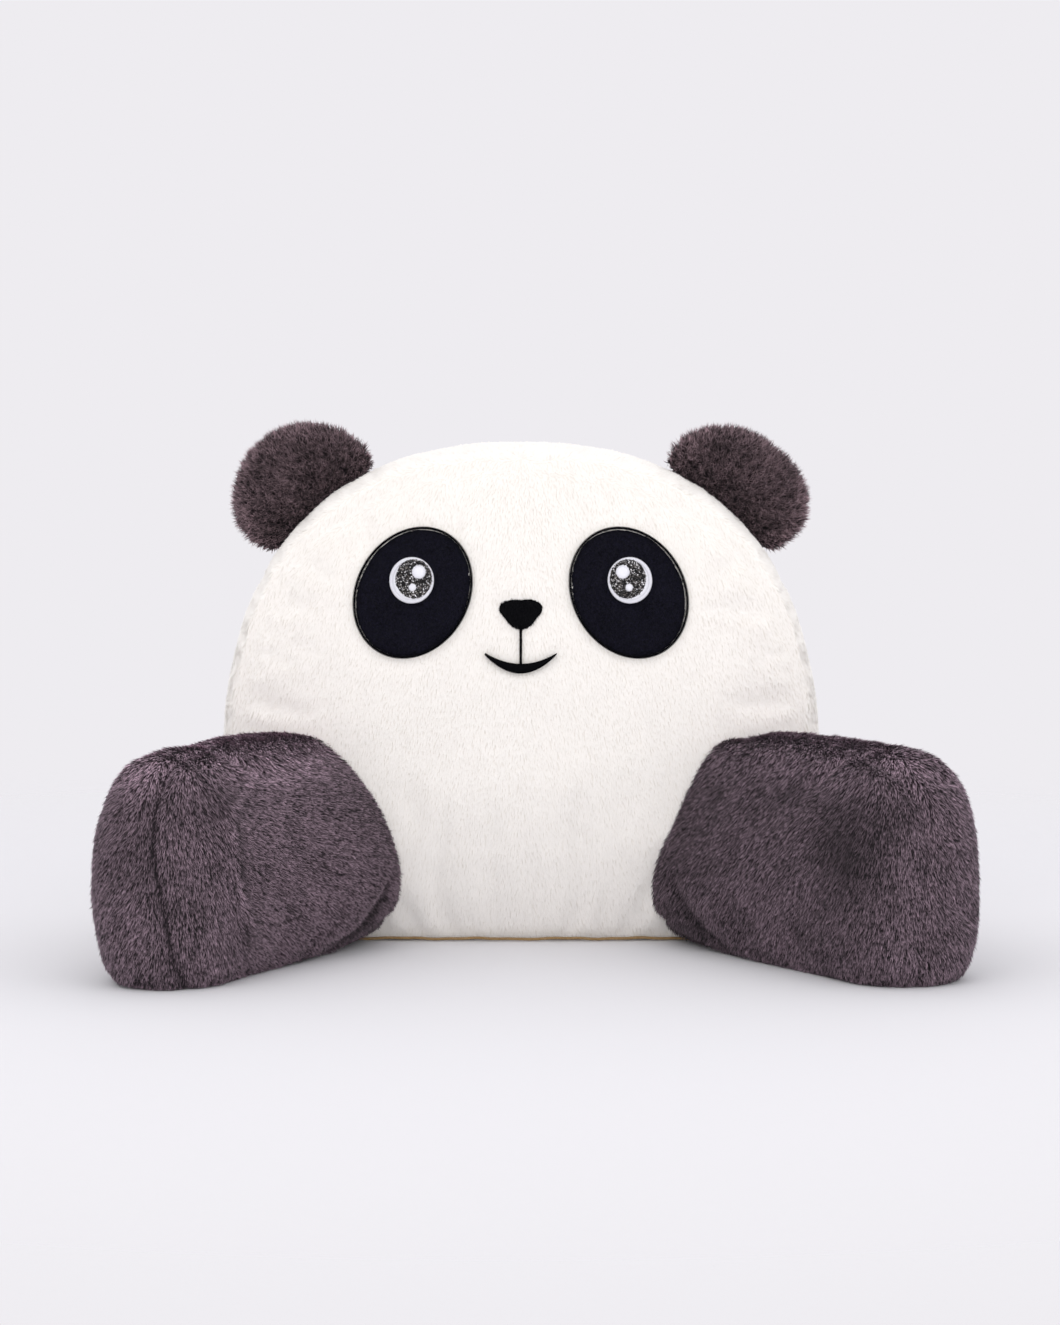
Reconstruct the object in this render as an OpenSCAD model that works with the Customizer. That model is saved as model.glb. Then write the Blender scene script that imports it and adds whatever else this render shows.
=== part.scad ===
// Panda backrest cushion: a furry dome with an embroidered face, two swinging
// armrests and two floppy ears. +Z is up, the face looks along -Y, the base is on z = 0.

/* [Torso] */
// Width of the torso at its widest
torso_w = 470; // [440:2:500]
// Height of the torso
torso_h = 386; // [378:2:394]
// Height at which the torso is widest
waist_z = 130; // [110:1:150]
// Depth of the torso at the base, from front seam to back seam
base_depth = 168; // [150:1:190]
// Depth between the seams at the crown
crown_depth = 112; // [90:1:140]
// How far the face swells in front of its seam
face_swell = 36; // [24:1:46]
// How far the back swells behind its seam
back_swell = 24; // [14:1:34]
// Thickness of the fur cloth with its pile
cloth = 6; // [4:0.5:8]

/* [Armrests] */
// Distance of each arm's hinge axis from the middle
arm_x = 175; // [172:1:178]
// Distance of each arm's hinge axis behind the origin (negative is in front)
arm_y = -78; // [-84:1:-74]
// Radius of the arm where it meets the torso
arm_root_r = 78; // [74:1:82]
// Height of the arm
arm_h = 173; // [160:1:180]
// Distance from the hinge axis to the centre of the arm's rounded nose
arm_reach = 197; // [170:1:204]
// Radius of the arm's nose
nose_r = 58; // [50:1:64]
// Angle by which the arm on -X splays outwards from straight ahead
splay_left = 24.5; // [24:0.5:36]
// Angle by which the arm on +X splays outwards from straight ahead
splay_right = 31.5; // [24:0.5:36]
// How far an arm swings outwards from there
arm_out = 18; // [10:1:20]
// How far an arm swings inwards from there
arm_in = 24; // [10:1:26]
// How far the long seam lies inwards of the middle of an arm
seam_shift = 26; // [0:1:30]

/* [Ears] */
// Radius of an ear
ear_r = 60.5; // [57:0.5:63]
// Distance of an ear's centre beyond its seam
ear_rise = 7.5; // [4:0.5:10]
// Thickness of a stuffed ear
ear_t = 40; // [32:1:44]
// Slope of the seam that holds an ear
ear_slope = 41; // [38:1:44]

/* [Face] */
// Distance of each eye patch from the middle
patch_x = 84.5; // [78:1:92]
// Height of the eye patches
patch_z = 274.5; // [268:0.5:284]
// Width of an eye patch across its short axis
patch_w = 87; // [76:1:92]
// Length of an eye patch along its long axis
patch_l = 104; // [92:1:112]
// Lean of an eye patch away from the nose
patch_lean = 27; // [10:1:30]
// Width of the stitched border round a patch
border_w = 2.6; // [2:0.1:3.5]
// Width of the white of an eye
eye_w = 35; // [30:1:38]
// Width of the smile
smile_w = 56; // [46:1:64]
// Width of the nose
nose_w = 31.5; // [26:0.5:36]

/* [Hidden] */

white = "#f3f0ec";
charcoal = "#4d434a";
filling = "#fbfbf8";
navy = "#171826";
black = "#141418";

big = 1000;               // larger than the whole cushion
skin = 0.02;              // thickness of the slices that a form is lofted from
gap = 0.4;                // between a cover and the stuffing in it
sink = 4;                 // how far a form reaches below the floor before its base is cut flat
clearance = 1.8;          // round an arm in its armhole and an ear in its groove
dome_pow = 2.4;           // squareness of the torso above the waist
foot_pow = 5;             // squareness of the torso below the waist
swell_pow = 2.4;          // how flat the middle of the face and of the back is
gusset_puff = 1.02;       // how far the gusset bulges past its seams
tilt = atan((base_depth - crown_depth) / 2 / torso_h);
face_steps = [0.06, 0.24, 0.44, 0.63, 0.8, 0.93, 1];
back_steps = [1, 0.8, 0.55, 0.3, 0.06];
outline_n = 40;           // points round the torso
arm_steps = 8;            // lofted stretches along an arm
arm_fn = 30;              // sides round an arm
profile_n = 5;            // points on each half of an arm's upright profile
arm_waist = 55;           // height at which an arm is widest
ear_steps = [-11.5, -8, 0, 10, 22, 36, 49, 59, 66];
ear_root_r = 12;          // rounding where an ear turns in its seam
ear_hinge = [165.3, 343.4];  // middle of an ear's seam, as x and z
seam_half = 54;           // half the length of an ear's seam
eye_x = patch_x + 0.8;
eye_z = patch_z + 9.5;

function signed_pow(v, p) = sign(v) * pow(abs(v), p);
function mix(a, b, t) = a + (b - a) * t;
function wave(t) = (1 - cos(180 * t)) / 2;

// ---- Torso ----

// Torso outline, shrunk to a share s of its size and then inwards by inset.
function outline(s, inset) = [for (i = [0 : outline_n - 1])
    let (a = 360 * i / outline_n, p = 2 / (sin(a) >= 0 ? dome_pow : foot_pow),
        up = sin(a) >= 0 ? torso_h - waist_z : waist_z + sink)
    [signed_pow(cos(a), p) * max(1, torso_w / 2 * s - inset),
        waist_z + signed_pow(sin(a), p) * max(1, up * s - inset)]];

// Share of the outline's size at which a point of the face or the back lies.
function share(x, z) =
    let (p = z > waist_z ? dome_pow : foot_pow, up = z > waist_z ? torso_h - waist_z : waist_z + sink)
    min(1, pow(pow(abs(x) / (torso_w / 2), p) + pow(abs(z - waist_z) / up, p), 1 / p));
function swell(s) = 1 - pow(s, swell_pow);

module slice(y, lean, s, inset) {
    translate([0, y, 0]) rotate([90 + lean, 0, 0]) linear_extrude(skin) polygon(outline(s, inset));
}

// The torso's loft, front to back: each row is [y at the base, lean, share of the outline].
function torso_rows(inset) = concat(
    [for (s = face_steps) [-base_depth / 2 + inset - face_swell * swell(s), -tilt, s]],
    [for (k = [-0.25, 0.25]) [k * base_depth, k * 2 * tilt, gusset_puff]],
    [for (s = back_steps) [base_depth / 2 - inset + back_swell * swell(s), tilt, s]]);

module torso_form(inset) {
    rows = torso_rows(inset);
    for (i = [0 : len(rows) - 2]) hull() for (row = [rows[i], rows[i + 1]])
        slice(row[0], row[1], row[2], inset);
}

module above(z) translate([-big / 2, -big / 2, z]) cube(big);
module before_face_seam() on_face() translate([-big / 2, -big, -big / 2]) cube(big);
module behind_back_seam() on_back() translate([-big / 2, 0, -big / 2]) cube(big);
module on_face() translate([0, -base_depth / 2, 0]) rotate([-tilt, 0, 0]) children();
module on_back() translate([0, base_depth / 2, 0]) rotate([tilt, 0, 0]) children();

// What the torso leaves free: both armholes and both ear grooves.
module torso_cuts() {
    for (m = [0, 1]) mirror([m, 0, 0]) {
        arm_place(0) arm_slice(0, -clearance);
        for (swing = [-arm_in, arm_out])
            arm_place((m > 0 ? splay_left : splay_right) + swing) arm_form(-clearance);
        ear_place() rotate([0, 90, 0])
            cylinder(r = ear_root_r + clearance, h = 2 * seam_half + 20, center = true, $fn = 24);
    }
}

module torso_shell() {
    difference() {
        torso_form(0);
        torso_form(cloth);
        torso_cuts();
    }
}

module front_panel() {
    color(white) intersection() {
        torso_shell();
        before_face_seam();
        above(cloth);
    }
}

// The turned-in lower edge of the face leaves a strip under it, which the gusset gives up.
module toe() translate([-arm_x, -base_depth / 2 - 1, 0]) cube([2 * arm_x, cloth + 4, 3 * cloth]);

module gusset() {
    color(white) difference() {
        intersection() {
            torso_shell();
            above(cloth);
        }
        before_face_seam();
        behind_back_seam();
        toe();
    }
}

module back_panel() {
    color(white) intersection() {
        torso_shell();
        behind_back_seam();
        above(cloth);
    }
}

// The base is cut back in a plain round under each arm.
arm_foot_r = 52;
module base_panel() {
    color(white) difference() {
        intersection() {
            torso_form(0);
            above(0);
        }
        above(cloth);
        for (x = [-arm_x, arm_x]) translate([x, arm_y, -1]) cylinder(r = arm_foot_r, h = cloth + 2, $fn = 48);
    }
}

module torso_stuffing() {
    color(filling) intersection() {
        difference() {
            torso_form(cloth + gap);
            torso_cuts();
        }
        above(cloth + gap);
    }
}

// Hand stitches that close the hole through which the torso was filled.
stitch = [7, 1.6, 1.6];
stitch_pitch = 10;
stitch_z = 30;
stitch_lift = 1.2;        // from the back to the middle of a stitch
module closing_stitches() {
    color("#e8e4dc") for (i = [-5 : 5])
        let (x = i * stitch_pitch, y = back_swell * swell(share(x, stitch_z)) + stitch_lift)
            on_back() translate([x, y, stitch_z]) rotate([0, 25, 0]) cube(stitch, center = true);
}

// ---- Face ----

// A flat outline laid on the swell of the face: rings of points from its middle
// outwards, lift above the face and thick through.
module applique(points, middle, lift, thick, rings = 1) {
    n = len(points);
    loops = [for (k = [1 : rings], p = points) mix(middle, p, k / rings)];
    flat = concat([middle], loops);
    function face_point(p, up) = [p[0], -face_swell * swell(share(p[0], p[1])) - up, p[1]];
    top = [for (p = flat) face_point(p, lift + thick)];
    low = [for (p = flat) face_point(p, lift)];
    m = len(flat);
    function next(i) = (i + 1) % n;
    fan = [for (i = [0 : n - 1]) [0, 1 + i, 1 + next(i)]];
    bands = rings < 2 ? [] : [for (k = [0 : rings - 2], i = [0 : n - 1])
        let (a = 1 + k * n + i, b = 1 + k * n + next(i)) each [[a, a + n, b + n], [a, b + n, b]]];
    edge = 1 + (rings - 1) * n;
    wall = [for (i = [0 : n - 1])
        let (a = edge + i, b = edge + next(i)) each [[a, a + m, b + m], [a, b + m, b]]];
    upper = concat(fan, bands);
    lower = [for (f = upper) [f[2] + m, f[1] + m, f[0] + m]];
    on_face() polyhedron(concat(top, low), concat(upper, lower, wall), convexity = 4);
}

// A stitched edge of the given width that follows a closed outline.
module edging(points, middle, width, lift, thick) {
    n = len(points);
    outer = [for (p = points) p + (p - middle) / norm(p - middle) * width];
    function face_point(p, up) = [p[0], -face_swell * swell(share(p[0], p[1])) - up, p[1]];
    all = concat([for (p = points) face_point(p, lift + thick)], [for (p = outer) face_point(p, lift + thick)],
        [for (p = outer) face_point(p, lift)], [for (p = points) face_point(p, lift)]);
    on_face() polyhedron(all, [for (k = [0 : 3], i = [0 : n - 1])
        let (a = k * n + i, b = k * n + (i + 1) % n, c = (a + n) % (4 * n), d = (b + n) % (4 * n))
        each [[a, c, d], [a, d, b]]], convexity = 6);
}

// Points of an oval, listed clockwise as seen from in front of the face.
function oval(cx, cz, w, h, lean, n) = [for (i = [0 : n - 1])
    let (a = -360 * i / n, x = w / 2 * cos(a), z = h / 2 * sin(a))
    [cx + x * cos(lean) - z * sin(lean), cz + x * sin(lean) + z * cos(lean)]];

patch_n = 36;
patch_lift = 0.2;
patch_t = 1.6;
eye_lift = patch_lift + patch_t + 0.1;
embroidery = 0.8;         // thickness of the embroidered pieces
iris_lift = eye_lift + embroidery + 0.1;
glint_lift = iris_lift + embroidery + 0.1;
function patch_outline() = oval(patch_x, patch_z, patch_w, patch_l, patch_lean, patch_n);

module eye_patch() {
    color(navy) applique(patch_outline(), [patch_x, patch_z], patch_lift, patch_t, 4);
}
module patch_border() {
    color(black) edging([for (p = patch_outline()) mix([patch_x, patch_z], p, 1.004)],
        [patch_x, patch_z], border_w, patch_lift, patch_t + 0.6);
}
module eye_white() {
    color("white") applique(oval(eye_x, eye_z, eye_w, eye_w + 1.5, 0, 28), [eye_x, eye_z],
        eye_lift, embroidery, 2);
}
iris_x = eye_x - 1.8;
iris_z = eye_z + 1.2;
module iris() {
    color("#6e6c70") applique(oval(iris_x, iris_z, eye_w - 6.2, eye_w - 4, 0, 24), [iris_x, iris_z],
        iris_lift, embroidery, 2);
}
module glint(x, z, d) applique(oval(x, z, d, d, 0, 14), [x, z], glint_lift, embroidery);
module eye_glints() {
    color("white") {
        glint(iris_x - 3.9, iris_z + 5.3, 10.8);
        glint(iris_x + 1, iris_z - 6.9, 5.8);
    }
}

nose_z = 258;
nose_h = nose_w * 0.74;
// A triangle with its point down and its corners well rounded.
function nose_outline() = [for (i = [0 : 23])
    let (a = -360 * i / 24, r = 1 + 0.13 * cos(3 * (a + 90)))
    [nose_w / 2 * 1.02 * r * cos(a), nose_z + nose_h / 2 * r * sin(a) + 1]];
module nose() {
    color(black) applique(nose_outline(), [0, nose_z], patch_lift, 2, 2);
}

mouth_top = 226.5;
mouth_drop = 14.5;        // from the tips to the lowest point
mouth_t = 6;              // thickness at its middle
philtrum_w = 2.4;
philtrum_top = nose_z - nose_h / 2 - 0.6;
philtrum_low = mouth_top - mouth_drop + mouth_t + 0.95;
module philtrum() {
    half = philtrum_w / 2;
    color(black) applique([[-half, philtrum_top], [half, philtrum_top], [half, philtrum_low], [-half, philtrum_low]],
        [0, (philtrum_top + philtrum_low) / 2], patch_lift, embroidery);
}

function smile_z(u, drop) = mouth_top - drop * (1 - u * u);
// The smile is a row of short slabs, because a crescent has no middle to fan from.
module mouth() {
    n = 12;
    half = smile_w / 2;
    function row(i, k) = let (u = -1 + 2 * i / n, drop = k == 0 ? mouth_drop - mouth_t : mouth_drop)
        [u * half, smile_z(u, drop) + (k == 0 ? 0.8 : -0.8)];
    function face_point(p, up) = [p[0], -face_swell * swell(share(p[0], p[1])) - up, p[1]];
    points = [for (i = [0 : n]) each [face_point(row(i, 0), patch_lift + embroidery),
        face_point(row(i, 1), patch_lift + embroidery), face_point(row(i, 1), patch_lift),
        face_point(row(i, 0), patch_lift)]];
    sides = [for (i = [0 : n - 1], k = [0 : 3])
        let (a = 4 * i + k, b = 4 * i + (k + 1) % 4) each [[a, a + 4, b + 4], [a, b + 4, b]]];
    last = 4 * n;
    ends = [[0, 1, 2], [0, 2, 3], [last + 2, last + 1, last], [last + 3, last + 2, last]];
    color(black) on_face() polyhedron(points, concat(sides, ends), convexity = 6);
}

// ---- Arms ----

// Upright profile of an arm, a share t of the way from its hinge to its nose.
function arm_profile(t, inset) =
    let (r = mix(arm_root_r, nose_r, wave(t)) - inset, top = arm_h - mix(6, 2, t) * pow(2 * t - 1, 2) - inset,
        q = mix(2.6, 4, t), round = mix(1.75, 2.6, t), low = arm_waist + mix(1, 7, t) - inset)
    concat([for (i = [0 : profile_n]) let (a = 90 * i / profile_n)
            [r * pow(sin(a), 2 / q), arm_waist - low * pow(cos(a), 2 / q)]],
        [for (i = [1 : profile_n]) let (a = 90 * i / profile_n)
            [r * pow(max(0, cos(a)), 2 / round), arm_waist + (top - arm_waist) * pow(sin(a), 2 / round)]]);

module arm_slice(t, inset) {
    translate([0, -arm_reach * t, 0]) rotate_extrude($fn = arm_fn) polygon(arm_profile(t, inset));
}

// The arm straight ahead of its hinge axis, which is the Z axis here.
module arm_form(inset) {
    for (i = [0 : arm_steps - 1]) hull() for (t = [i, i + 1] / arm_steps) arm_slice(t, inset);
}

// Puts an arm in place on the +X side at the given splay.
module arm_place(splay) {
    translate([arm_x, arm_y, 0]) rotate([0, 0, splay]) children();
}

module arm_panel(side) {
    intersection() {
        difference() {
            arm_form(0);
            arm_form(cloth);
        }
        above(cloth);
        translate([-seam_shift + (side > 0 ? 0 : -big), -big / 2, -big / 2]) cube(big);
    }
}
module arm_inner_panel(splay) {
    color(charcoal) arm_place(splay) arm_panel(-1);
}
module arm_outer_panel(splay) {
    color(charcoal) arm_place(splay) arm_panel(1);
}
module arm_base_panel(splay) {
    color("#3c343a") arm_place(splay) intersection() {
        difference() {
            arm_form(0);
            above(cloth);
        }
        above(0);
    }
}
module arm_stuffing(splay) {
    color(filling) arm_place(splay) intersection() {
        arm_form(cloth + gap);
        above(cloth + gap);
    }
}

// ---- Ears ----

// Half the width and half the thickness of an ear, n beyond its hinge axis.
function ear_half(n, inset) =
    let (m = n - ear_rise, edge = sqrt(max(1, ear_r * ear_r - m * m)),
        root = sqrt(max(0.5, ear_root_r * ear_root_r - n * n)))
    n < 0 ? [seam_half - ear_root_r + root - inset, max(0.6, root - inset)]
        : [max(1, mix(seam_half, edge, wave(min(1, n / 20))) - inset),
            max(0.6, mix(ear_root_r, ear_t / 2 * sqrt(edge / ear_r), wave(min(1, n / 24))) - inset)];

module ear_slice(n, inset) {
    half = ear_half(n, inset);
    translate([0, 0, n - sign(n) * inset]) linear_extrude(skin)
        polygon([for (i = [0 : 23]) let (a = 15 * i)
            [half[0] * signed_pow(cos(a), 0.8), half[1] * signed_pow(sin(a), 0.9)]]);
}
module ear_form(inset) {
    for (i = [0 : len(ear_steps) - 2]) hull() for (n = [ear_steps[i], ear_steps[i + 1]]) ear_slice(n, inset);
}

// Puts the right ear in place: its seam runs along X before it is turned.
module ear_place() {
    translate([ear_hinge[0], 0, ear_hinge[1]]) rotate([0, ear_slope, 0]) children();
}
module ear_panel(side) {
    color(charcoal) ear_place() intersection() {
        difference() {
            ear_form(0);
            ear_form(cloth - 1);
        }
        translate([-big / 2, side > 0 ? 0 : -big, -big / 2]) cube(big);
    }
}
module ear_front_panel() ear_panel(-1);
module ear_back_panel() ear_panel(1);
module ear_stuffing() {
    color(filling) ear_place() ear_form(cloth - 1 + gap);
}
module left() mirror([1, 0, 0]) children();

front_panel();
gusset();
back_panel();
base_panel();
torso_stuffing();
closing_stitches();
left() eye_patch();  // eye_patch_left
left() patch_border();  // patch_border_left
left() eye_white();  // eye_white_left
left() iris();  // iris_left
left() eye_glints();  // eye_glints_left
eye_patch();  // eye_patch_right
patch_border();  // patch_border_right
eye_white();  // eye_white_right
iris();  // iris_right
eye_glints();  // eye_glints_right
nose();
philtrum();
mouth();
left() arm_inner_panel(splay_left);  // arm_inner_panel_left
left() arm_outer_panel(splay_left);  // arm_outer_panel_left
left() arm_base_panel(splay_left);  // arm_base_panel_left
left() arm_stuffing(splay_left);  // arm_stuffing_left
arm_inner_panel(splay_right);  // arm_inner_panel_right
arm_outer_panel(splay_right);  // arm_outer_panel_right
arm_base_panel(splay_right);  // arm_base_panel_right
arm_stuffing(splay_right);  // arm_stuffing_right
left() ear_front_panel();  // ear_front_panel_left
left() ear_back_panel();  // ear_back_panel_left
left() ear_stuffing();  // ear_stuffing_left
ear_front_panel();  // ear_front_panel_right
ear_back_panel();  // ear_back_panel_right
ear_stuffing();  // ear_stuffing_right
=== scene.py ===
import math
import bpy
import numpy as np
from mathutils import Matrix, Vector


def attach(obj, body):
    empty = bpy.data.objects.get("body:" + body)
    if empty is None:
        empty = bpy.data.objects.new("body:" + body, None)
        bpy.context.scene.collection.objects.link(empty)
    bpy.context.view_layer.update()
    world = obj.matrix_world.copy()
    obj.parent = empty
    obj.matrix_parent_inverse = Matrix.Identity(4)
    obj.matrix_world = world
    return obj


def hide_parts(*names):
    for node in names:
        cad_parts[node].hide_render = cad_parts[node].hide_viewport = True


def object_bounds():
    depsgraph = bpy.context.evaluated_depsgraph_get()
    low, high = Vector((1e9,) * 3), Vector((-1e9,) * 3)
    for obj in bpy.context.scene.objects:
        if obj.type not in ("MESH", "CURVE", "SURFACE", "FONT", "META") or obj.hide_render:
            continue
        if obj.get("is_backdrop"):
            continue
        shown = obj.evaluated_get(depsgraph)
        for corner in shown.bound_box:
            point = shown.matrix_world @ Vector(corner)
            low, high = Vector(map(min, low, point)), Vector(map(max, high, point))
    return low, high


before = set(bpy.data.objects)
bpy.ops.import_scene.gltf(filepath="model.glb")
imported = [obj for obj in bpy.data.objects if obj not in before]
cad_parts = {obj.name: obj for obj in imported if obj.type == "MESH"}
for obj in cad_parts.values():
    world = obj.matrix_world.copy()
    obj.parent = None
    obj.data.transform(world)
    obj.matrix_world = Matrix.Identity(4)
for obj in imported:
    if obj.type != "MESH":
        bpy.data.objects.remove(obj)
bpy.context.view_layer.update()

scene = bpy.context.scene

# small helpers


def linear(red, green, blue):
    # a fabric colour as seen, turned into the light it throws back
    parts = [v / 255 for v in (red, green, blue)]
    return tuple(v / 12.92 if v < 0.04045 else ((v + 0.055) / 1.055) ** 2.4 for v in parts) + (1.0,)


def meshObject(name, points, faces, smooth=True):
    mesh = bpy.data.meshes.new(name)
    mesh.from_pydata([tuple(p) for p in points], [], [tuple(f) for f in faces])
    mesh.validate()
    obj = bpy.data.objects.new(name, mesh)
    scene.collection.objects.link(obj)
    if smooth:
        mesh.shade_smooth()
    return obj


def settled(obj, name=None):
    # the mesh with its modifiers applied, as a plain object
    graph = bpy.context.evaluated_depsgraph_get()
    graph.update()
    mesh = bpy.data.meshes.new_from_object(obj.evaluated_get(graph), depsgraph=graph)
    if name is None:
        obj.modifiers.clear()
        obj.data = mesh
        return obj
    made = bpy.data.objects.new(name, mesh)
    mesh.name = name
    scene.collection.objects.link(made)
    return made


def places(mesh):
    found = np.empty(len(mesh.vertices) * 3)
    mesh.vertices.foreach_get("co", found)
    return found.reshape(-1, 3)


def normalsOf(mesh):
    found = np.empty(len(mesh.vertices) * 3, np.float32)
    mesh.vertex_normals.foreach_get("vector", found)
    return found.reshape(-1, 3).astype(float)


def move(mesh, points):
    mesh.vertices.foreach_set("co", points.astype(np.float32).ravel())
    mesh.update()


class Ease:
    # evens values out over a mesh, between each vertex and its neighbours
    def __init__(self, mesh):
        ends = np.empty(len(mesh.edges) * 2, np.int64)
        mesh.edges.foreach_get("vertices", ends)
        self.a, self.b = ends.reshape(-1, 2).T
        self.count = np.bincount(np.r_[self.a, self.b], minlength=len(mesh.vertices)).astype(float)

    def even(self, values, times, share=0.5):
        flat = values.reshape(len(values), -1).copy()
        for _ in range(times):
            for k in range(flat.shape[1]):
                column = flat[:, k]
                total = np.bincount(self.a, column[self.b], len(column))
                total += np.bincount(self.b, column[self.a], len(column))
                flat[:, k] = column + share * (total / self.count - column)
        return flat.reshape(values.shape)


def smoothStep(low, high, v):
    t = np.clip((v - low) / (high - low), 0, 1)
    return t * t * (3 - 2 * t)


def bump(v, width):
    return np.exp(-((v / width) ** 2))


def store(mesh, name, values):
    kind = "FLOAT" if values.ndim == 1 else "FLOAT_VECTOR"
    layer = mesh.attributes.get(name) or mesh.attributes.new(name, kind, "POINT")
    layer.data.foreach_set("value" if values.ndim == 1 else "vector", values.astype(np.float32).ravel())


# the forms the cushion was cut to, all in metres

torsoForm = {
    "halfWidth": 0.235, "height": 0.386, "waist": 0.130, "sink": 0.004,
    "baseDepth": 0.168, "crownDepth": 0.112, "faceSwell": 0.036, "backSwell": 0.024,
    "domePower": 2.4, "footPower": 5.0, "swellPower": 2.4, "gussetPuff": 0.021,
    "around": 170, "faceRows": 26, "gussetRows": 20,
}
armForm = {
    "hingeX": 0.175, "hingeY": -0.078, "splay": {"left": 24.5, "right": 31.5},
    "swings": (-24, 0, 18), "rootRadius": 0.078,
    "height": 0.173, "baseSeam": 0.0085, "seamHeights": (0.0, 0.012, 0.031, 0.067, 0.103, 0.134, 0.160),
    "seamShift": {"left": (-0.031, -0.031, -0.026, -0.022, -0.015, -0.013, -0.014),
                  "right": (-0.015, -0.015, -0.016, -0.016, -0.012, -0.013, -0.024)},
    # the fold under each arm, beside the torso, and the ridge where the pile parts on the left arm
    "fold": ((-0.078, -0.012, 0.053), (-0.076, -0.022, 0.039), (-0.069, -0.038, 0.021), (-0.058, -0.060, 0.008)),
    "ridge": ((-0.043, -0.157, 0.145), (-0.050, -0.197, 0.128), (-0.054, -0.200, 0.106), (-0.057, -0.200, 0.084),
              (-0.057, -0.194, 0.062), (-0.058, -0.181, 0.040)),
}
earForm = {
    "hingeX": 0.1653, "hingeZ": 0.3434, "slope": 41.0, "radius": 0.0605, "rise": 0.0075,
    "seamHalf": 0.054, "rootRadius": 0.012,
    # how far each ear reaches, from its outer lower corner round to its upper one
    "angles": (-20, -12, 0, 10, 20, 31, 42, 54, 69, 86, 104, 123, 142, 158, 172, 186, 200),
    "reach": {"left": (59, 59.5, 60, 60.5, 62, 61.5, 60, 58.5, 57.5, 57, 56.5, 56.5, 56, 57, 58, 60, 61),
              "right": (58, 59, 60, 60, 61, 61, 59.5, 56, 52, 50, 50, 52, 55, 58, 61, 63, 63)},
    "pile": 0.002,
}
lean = math.atan((torsoForm["baseDepth"] - torsoForm["crownDepth"]) / 2 / torsoForm["height"])


def torsoShare(x, z):
    # how far out towards the torso's outline a point of the face lies, 1 at the seam
    t = torsoForm
    up = z > t["waist"]
    power = np.where(up, t["domePower"], t["footPower"])
    reach = np.where(up, t["height"] - t["waist"], t["waist"] + t["sink"])
    inner = (np.abs(x) / t["halfWidth"]) ** power + (np.abs(z - t["waist"]) / reach) ** power
    return inner ** (1 / power)


def turned(u, v, angle):
    # a pair of coordinates turned about their shared origin, angle in radians
    c, s = math.cos(angle), math.sin(angle)
    return u * c - v * s, u * s + v * c


def mirror(side):
    return [-1 if side == "left" else 1, 1, 1]


def swell(share):
    return 1 - np.minimum(share, 1) ** torsoForm["swellPower"]


def panelLocal(points, side=-1):
    # height above the flat of a panel, and how far up it; side -1 is the face, 1 the back
    y = points[:, 1] - side * torsoForm["baseDepth"] / 2
    z = points[:, 2]
    return turned(y, z, -side * lean)


def facePoint(x, z, lift, side=-1):
    # a point of the face, or of the back for side 1, lift out from its surface
    x, z = np.asarray(x, float), np.asarray(z, float)
    y = torsoForm["faceSwell" if side < 0 else "backSwell"] * swell(torsoShare(x, z)) + lift
    out, up = turned(y, z, lean)
    return np.stack([x, side * (torsoForm["baseDepth"] / 2 + out), up], -1)


def outlineRing(share):
    # the torso's outline at a share of its size, as evenly spaced points
    t = torsoForm
    a = np.linspace(0, 2 * math.pi, 2000, endpoint=False)
    up = np.sin(a) >= 0
    power = 2 / np.where(up, t["domePower"], t["footPower"])
    reach = np.where(up, t["height"] - t["waist"], t["waist"] + t["sink"])
    x = np.sign(np.cos(a)) * np.abs(np.cos(a)) ** power * t["halfWidth"] * share
    z = t["waist"] + np.sign(np.sin(a)) * np.abs(np.sin(a)) ** power * reach * share
    step = np.hypot(np.diff(x, append=x[0]), np.diff(z, append=z[0]))
    run = np.r_[0, np.cumsum(step)]
    want = np.linspace(0, run[-1], t["around"], endpoint=False)
    return np.interp(want, run, np.r_[x, x[0]]), np.interp(want, run, np.r_[z, z[0]])


def torsoMesh():
    t = torsoForm
    rings = []
    for s in np.linspace(0.04, 1, t["faceRows"]):
        x, z = outlineRing(s)
        y = -t["faceSwell"] * swell(np.full_like(x, s))
        rings.append((x, y, z, -0.5))
    for k in np.linspace(-0.5, 0.5, t["gussetRows"])[1:-1]:
        x, z = outlineRing(1 + t["gussetPuff"] * (1 - (2 * k) ** 4))
        rings.append((x, np.zeros_like(x), z, k))
    for s in np.linspace(1, 0.04, t["faceRows"]):
        x, z = outlineRing(s)
        y = t["backSwell"] * swell(np.full_like(x, s))
        rings.append((x, y, z, 0.5))
    points = []
    for x, y, z, k in rings:
        out, up = turned(y, z, 2 * k * lean)
        ring = np.stack([x, k * t["baseDepth"] + out, up], -1)
        ring[:, 2] = np.maximum(ring[:, 2], 0)
        points.append(ring)
    n, faces = t["around"], []
    for i in range(len(points) - 1):
        for j in range(n):
            a, b = i * n + j, i * n + (j + 1) % n
            faces.append((a, b, b + n, a + n))
    last = (len(points) - 1) * n
    faces += [tuple(range(n))[::-1], tuple(range(last, last + n))]
    return np.concatenate(points), faces


armHinge = [armForm["hingeX"], armForm["hingeY"], 0]
earHinge = [earForm["hingeX"], 0, earForm["hingeZ"]]


def armLocal(points, side):
    # an arm's own space: its hinge axis upright at the middle, its length along -Y, outwards +X
    x, y, z = (points * mirror(side) - armHinge).T
    return np.stack([*turned(x, y, -math.radians(armForm["splay"][side])), z], -1)


def armWorld(points, side, swing=0):
    # back from an arm's own space, also with the arm swung by some degrees
    x, y, z = points.T
    p = np.stack([*turned(x, y, math.radians(armForm["splay"][side] + swing)), z], -1)
    return (p + armHinge) * mirror(side)


def turnArm(vectors, side):
    return armWorld(vectors, side) - armHinge * np.array(mirror(side))


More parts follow.
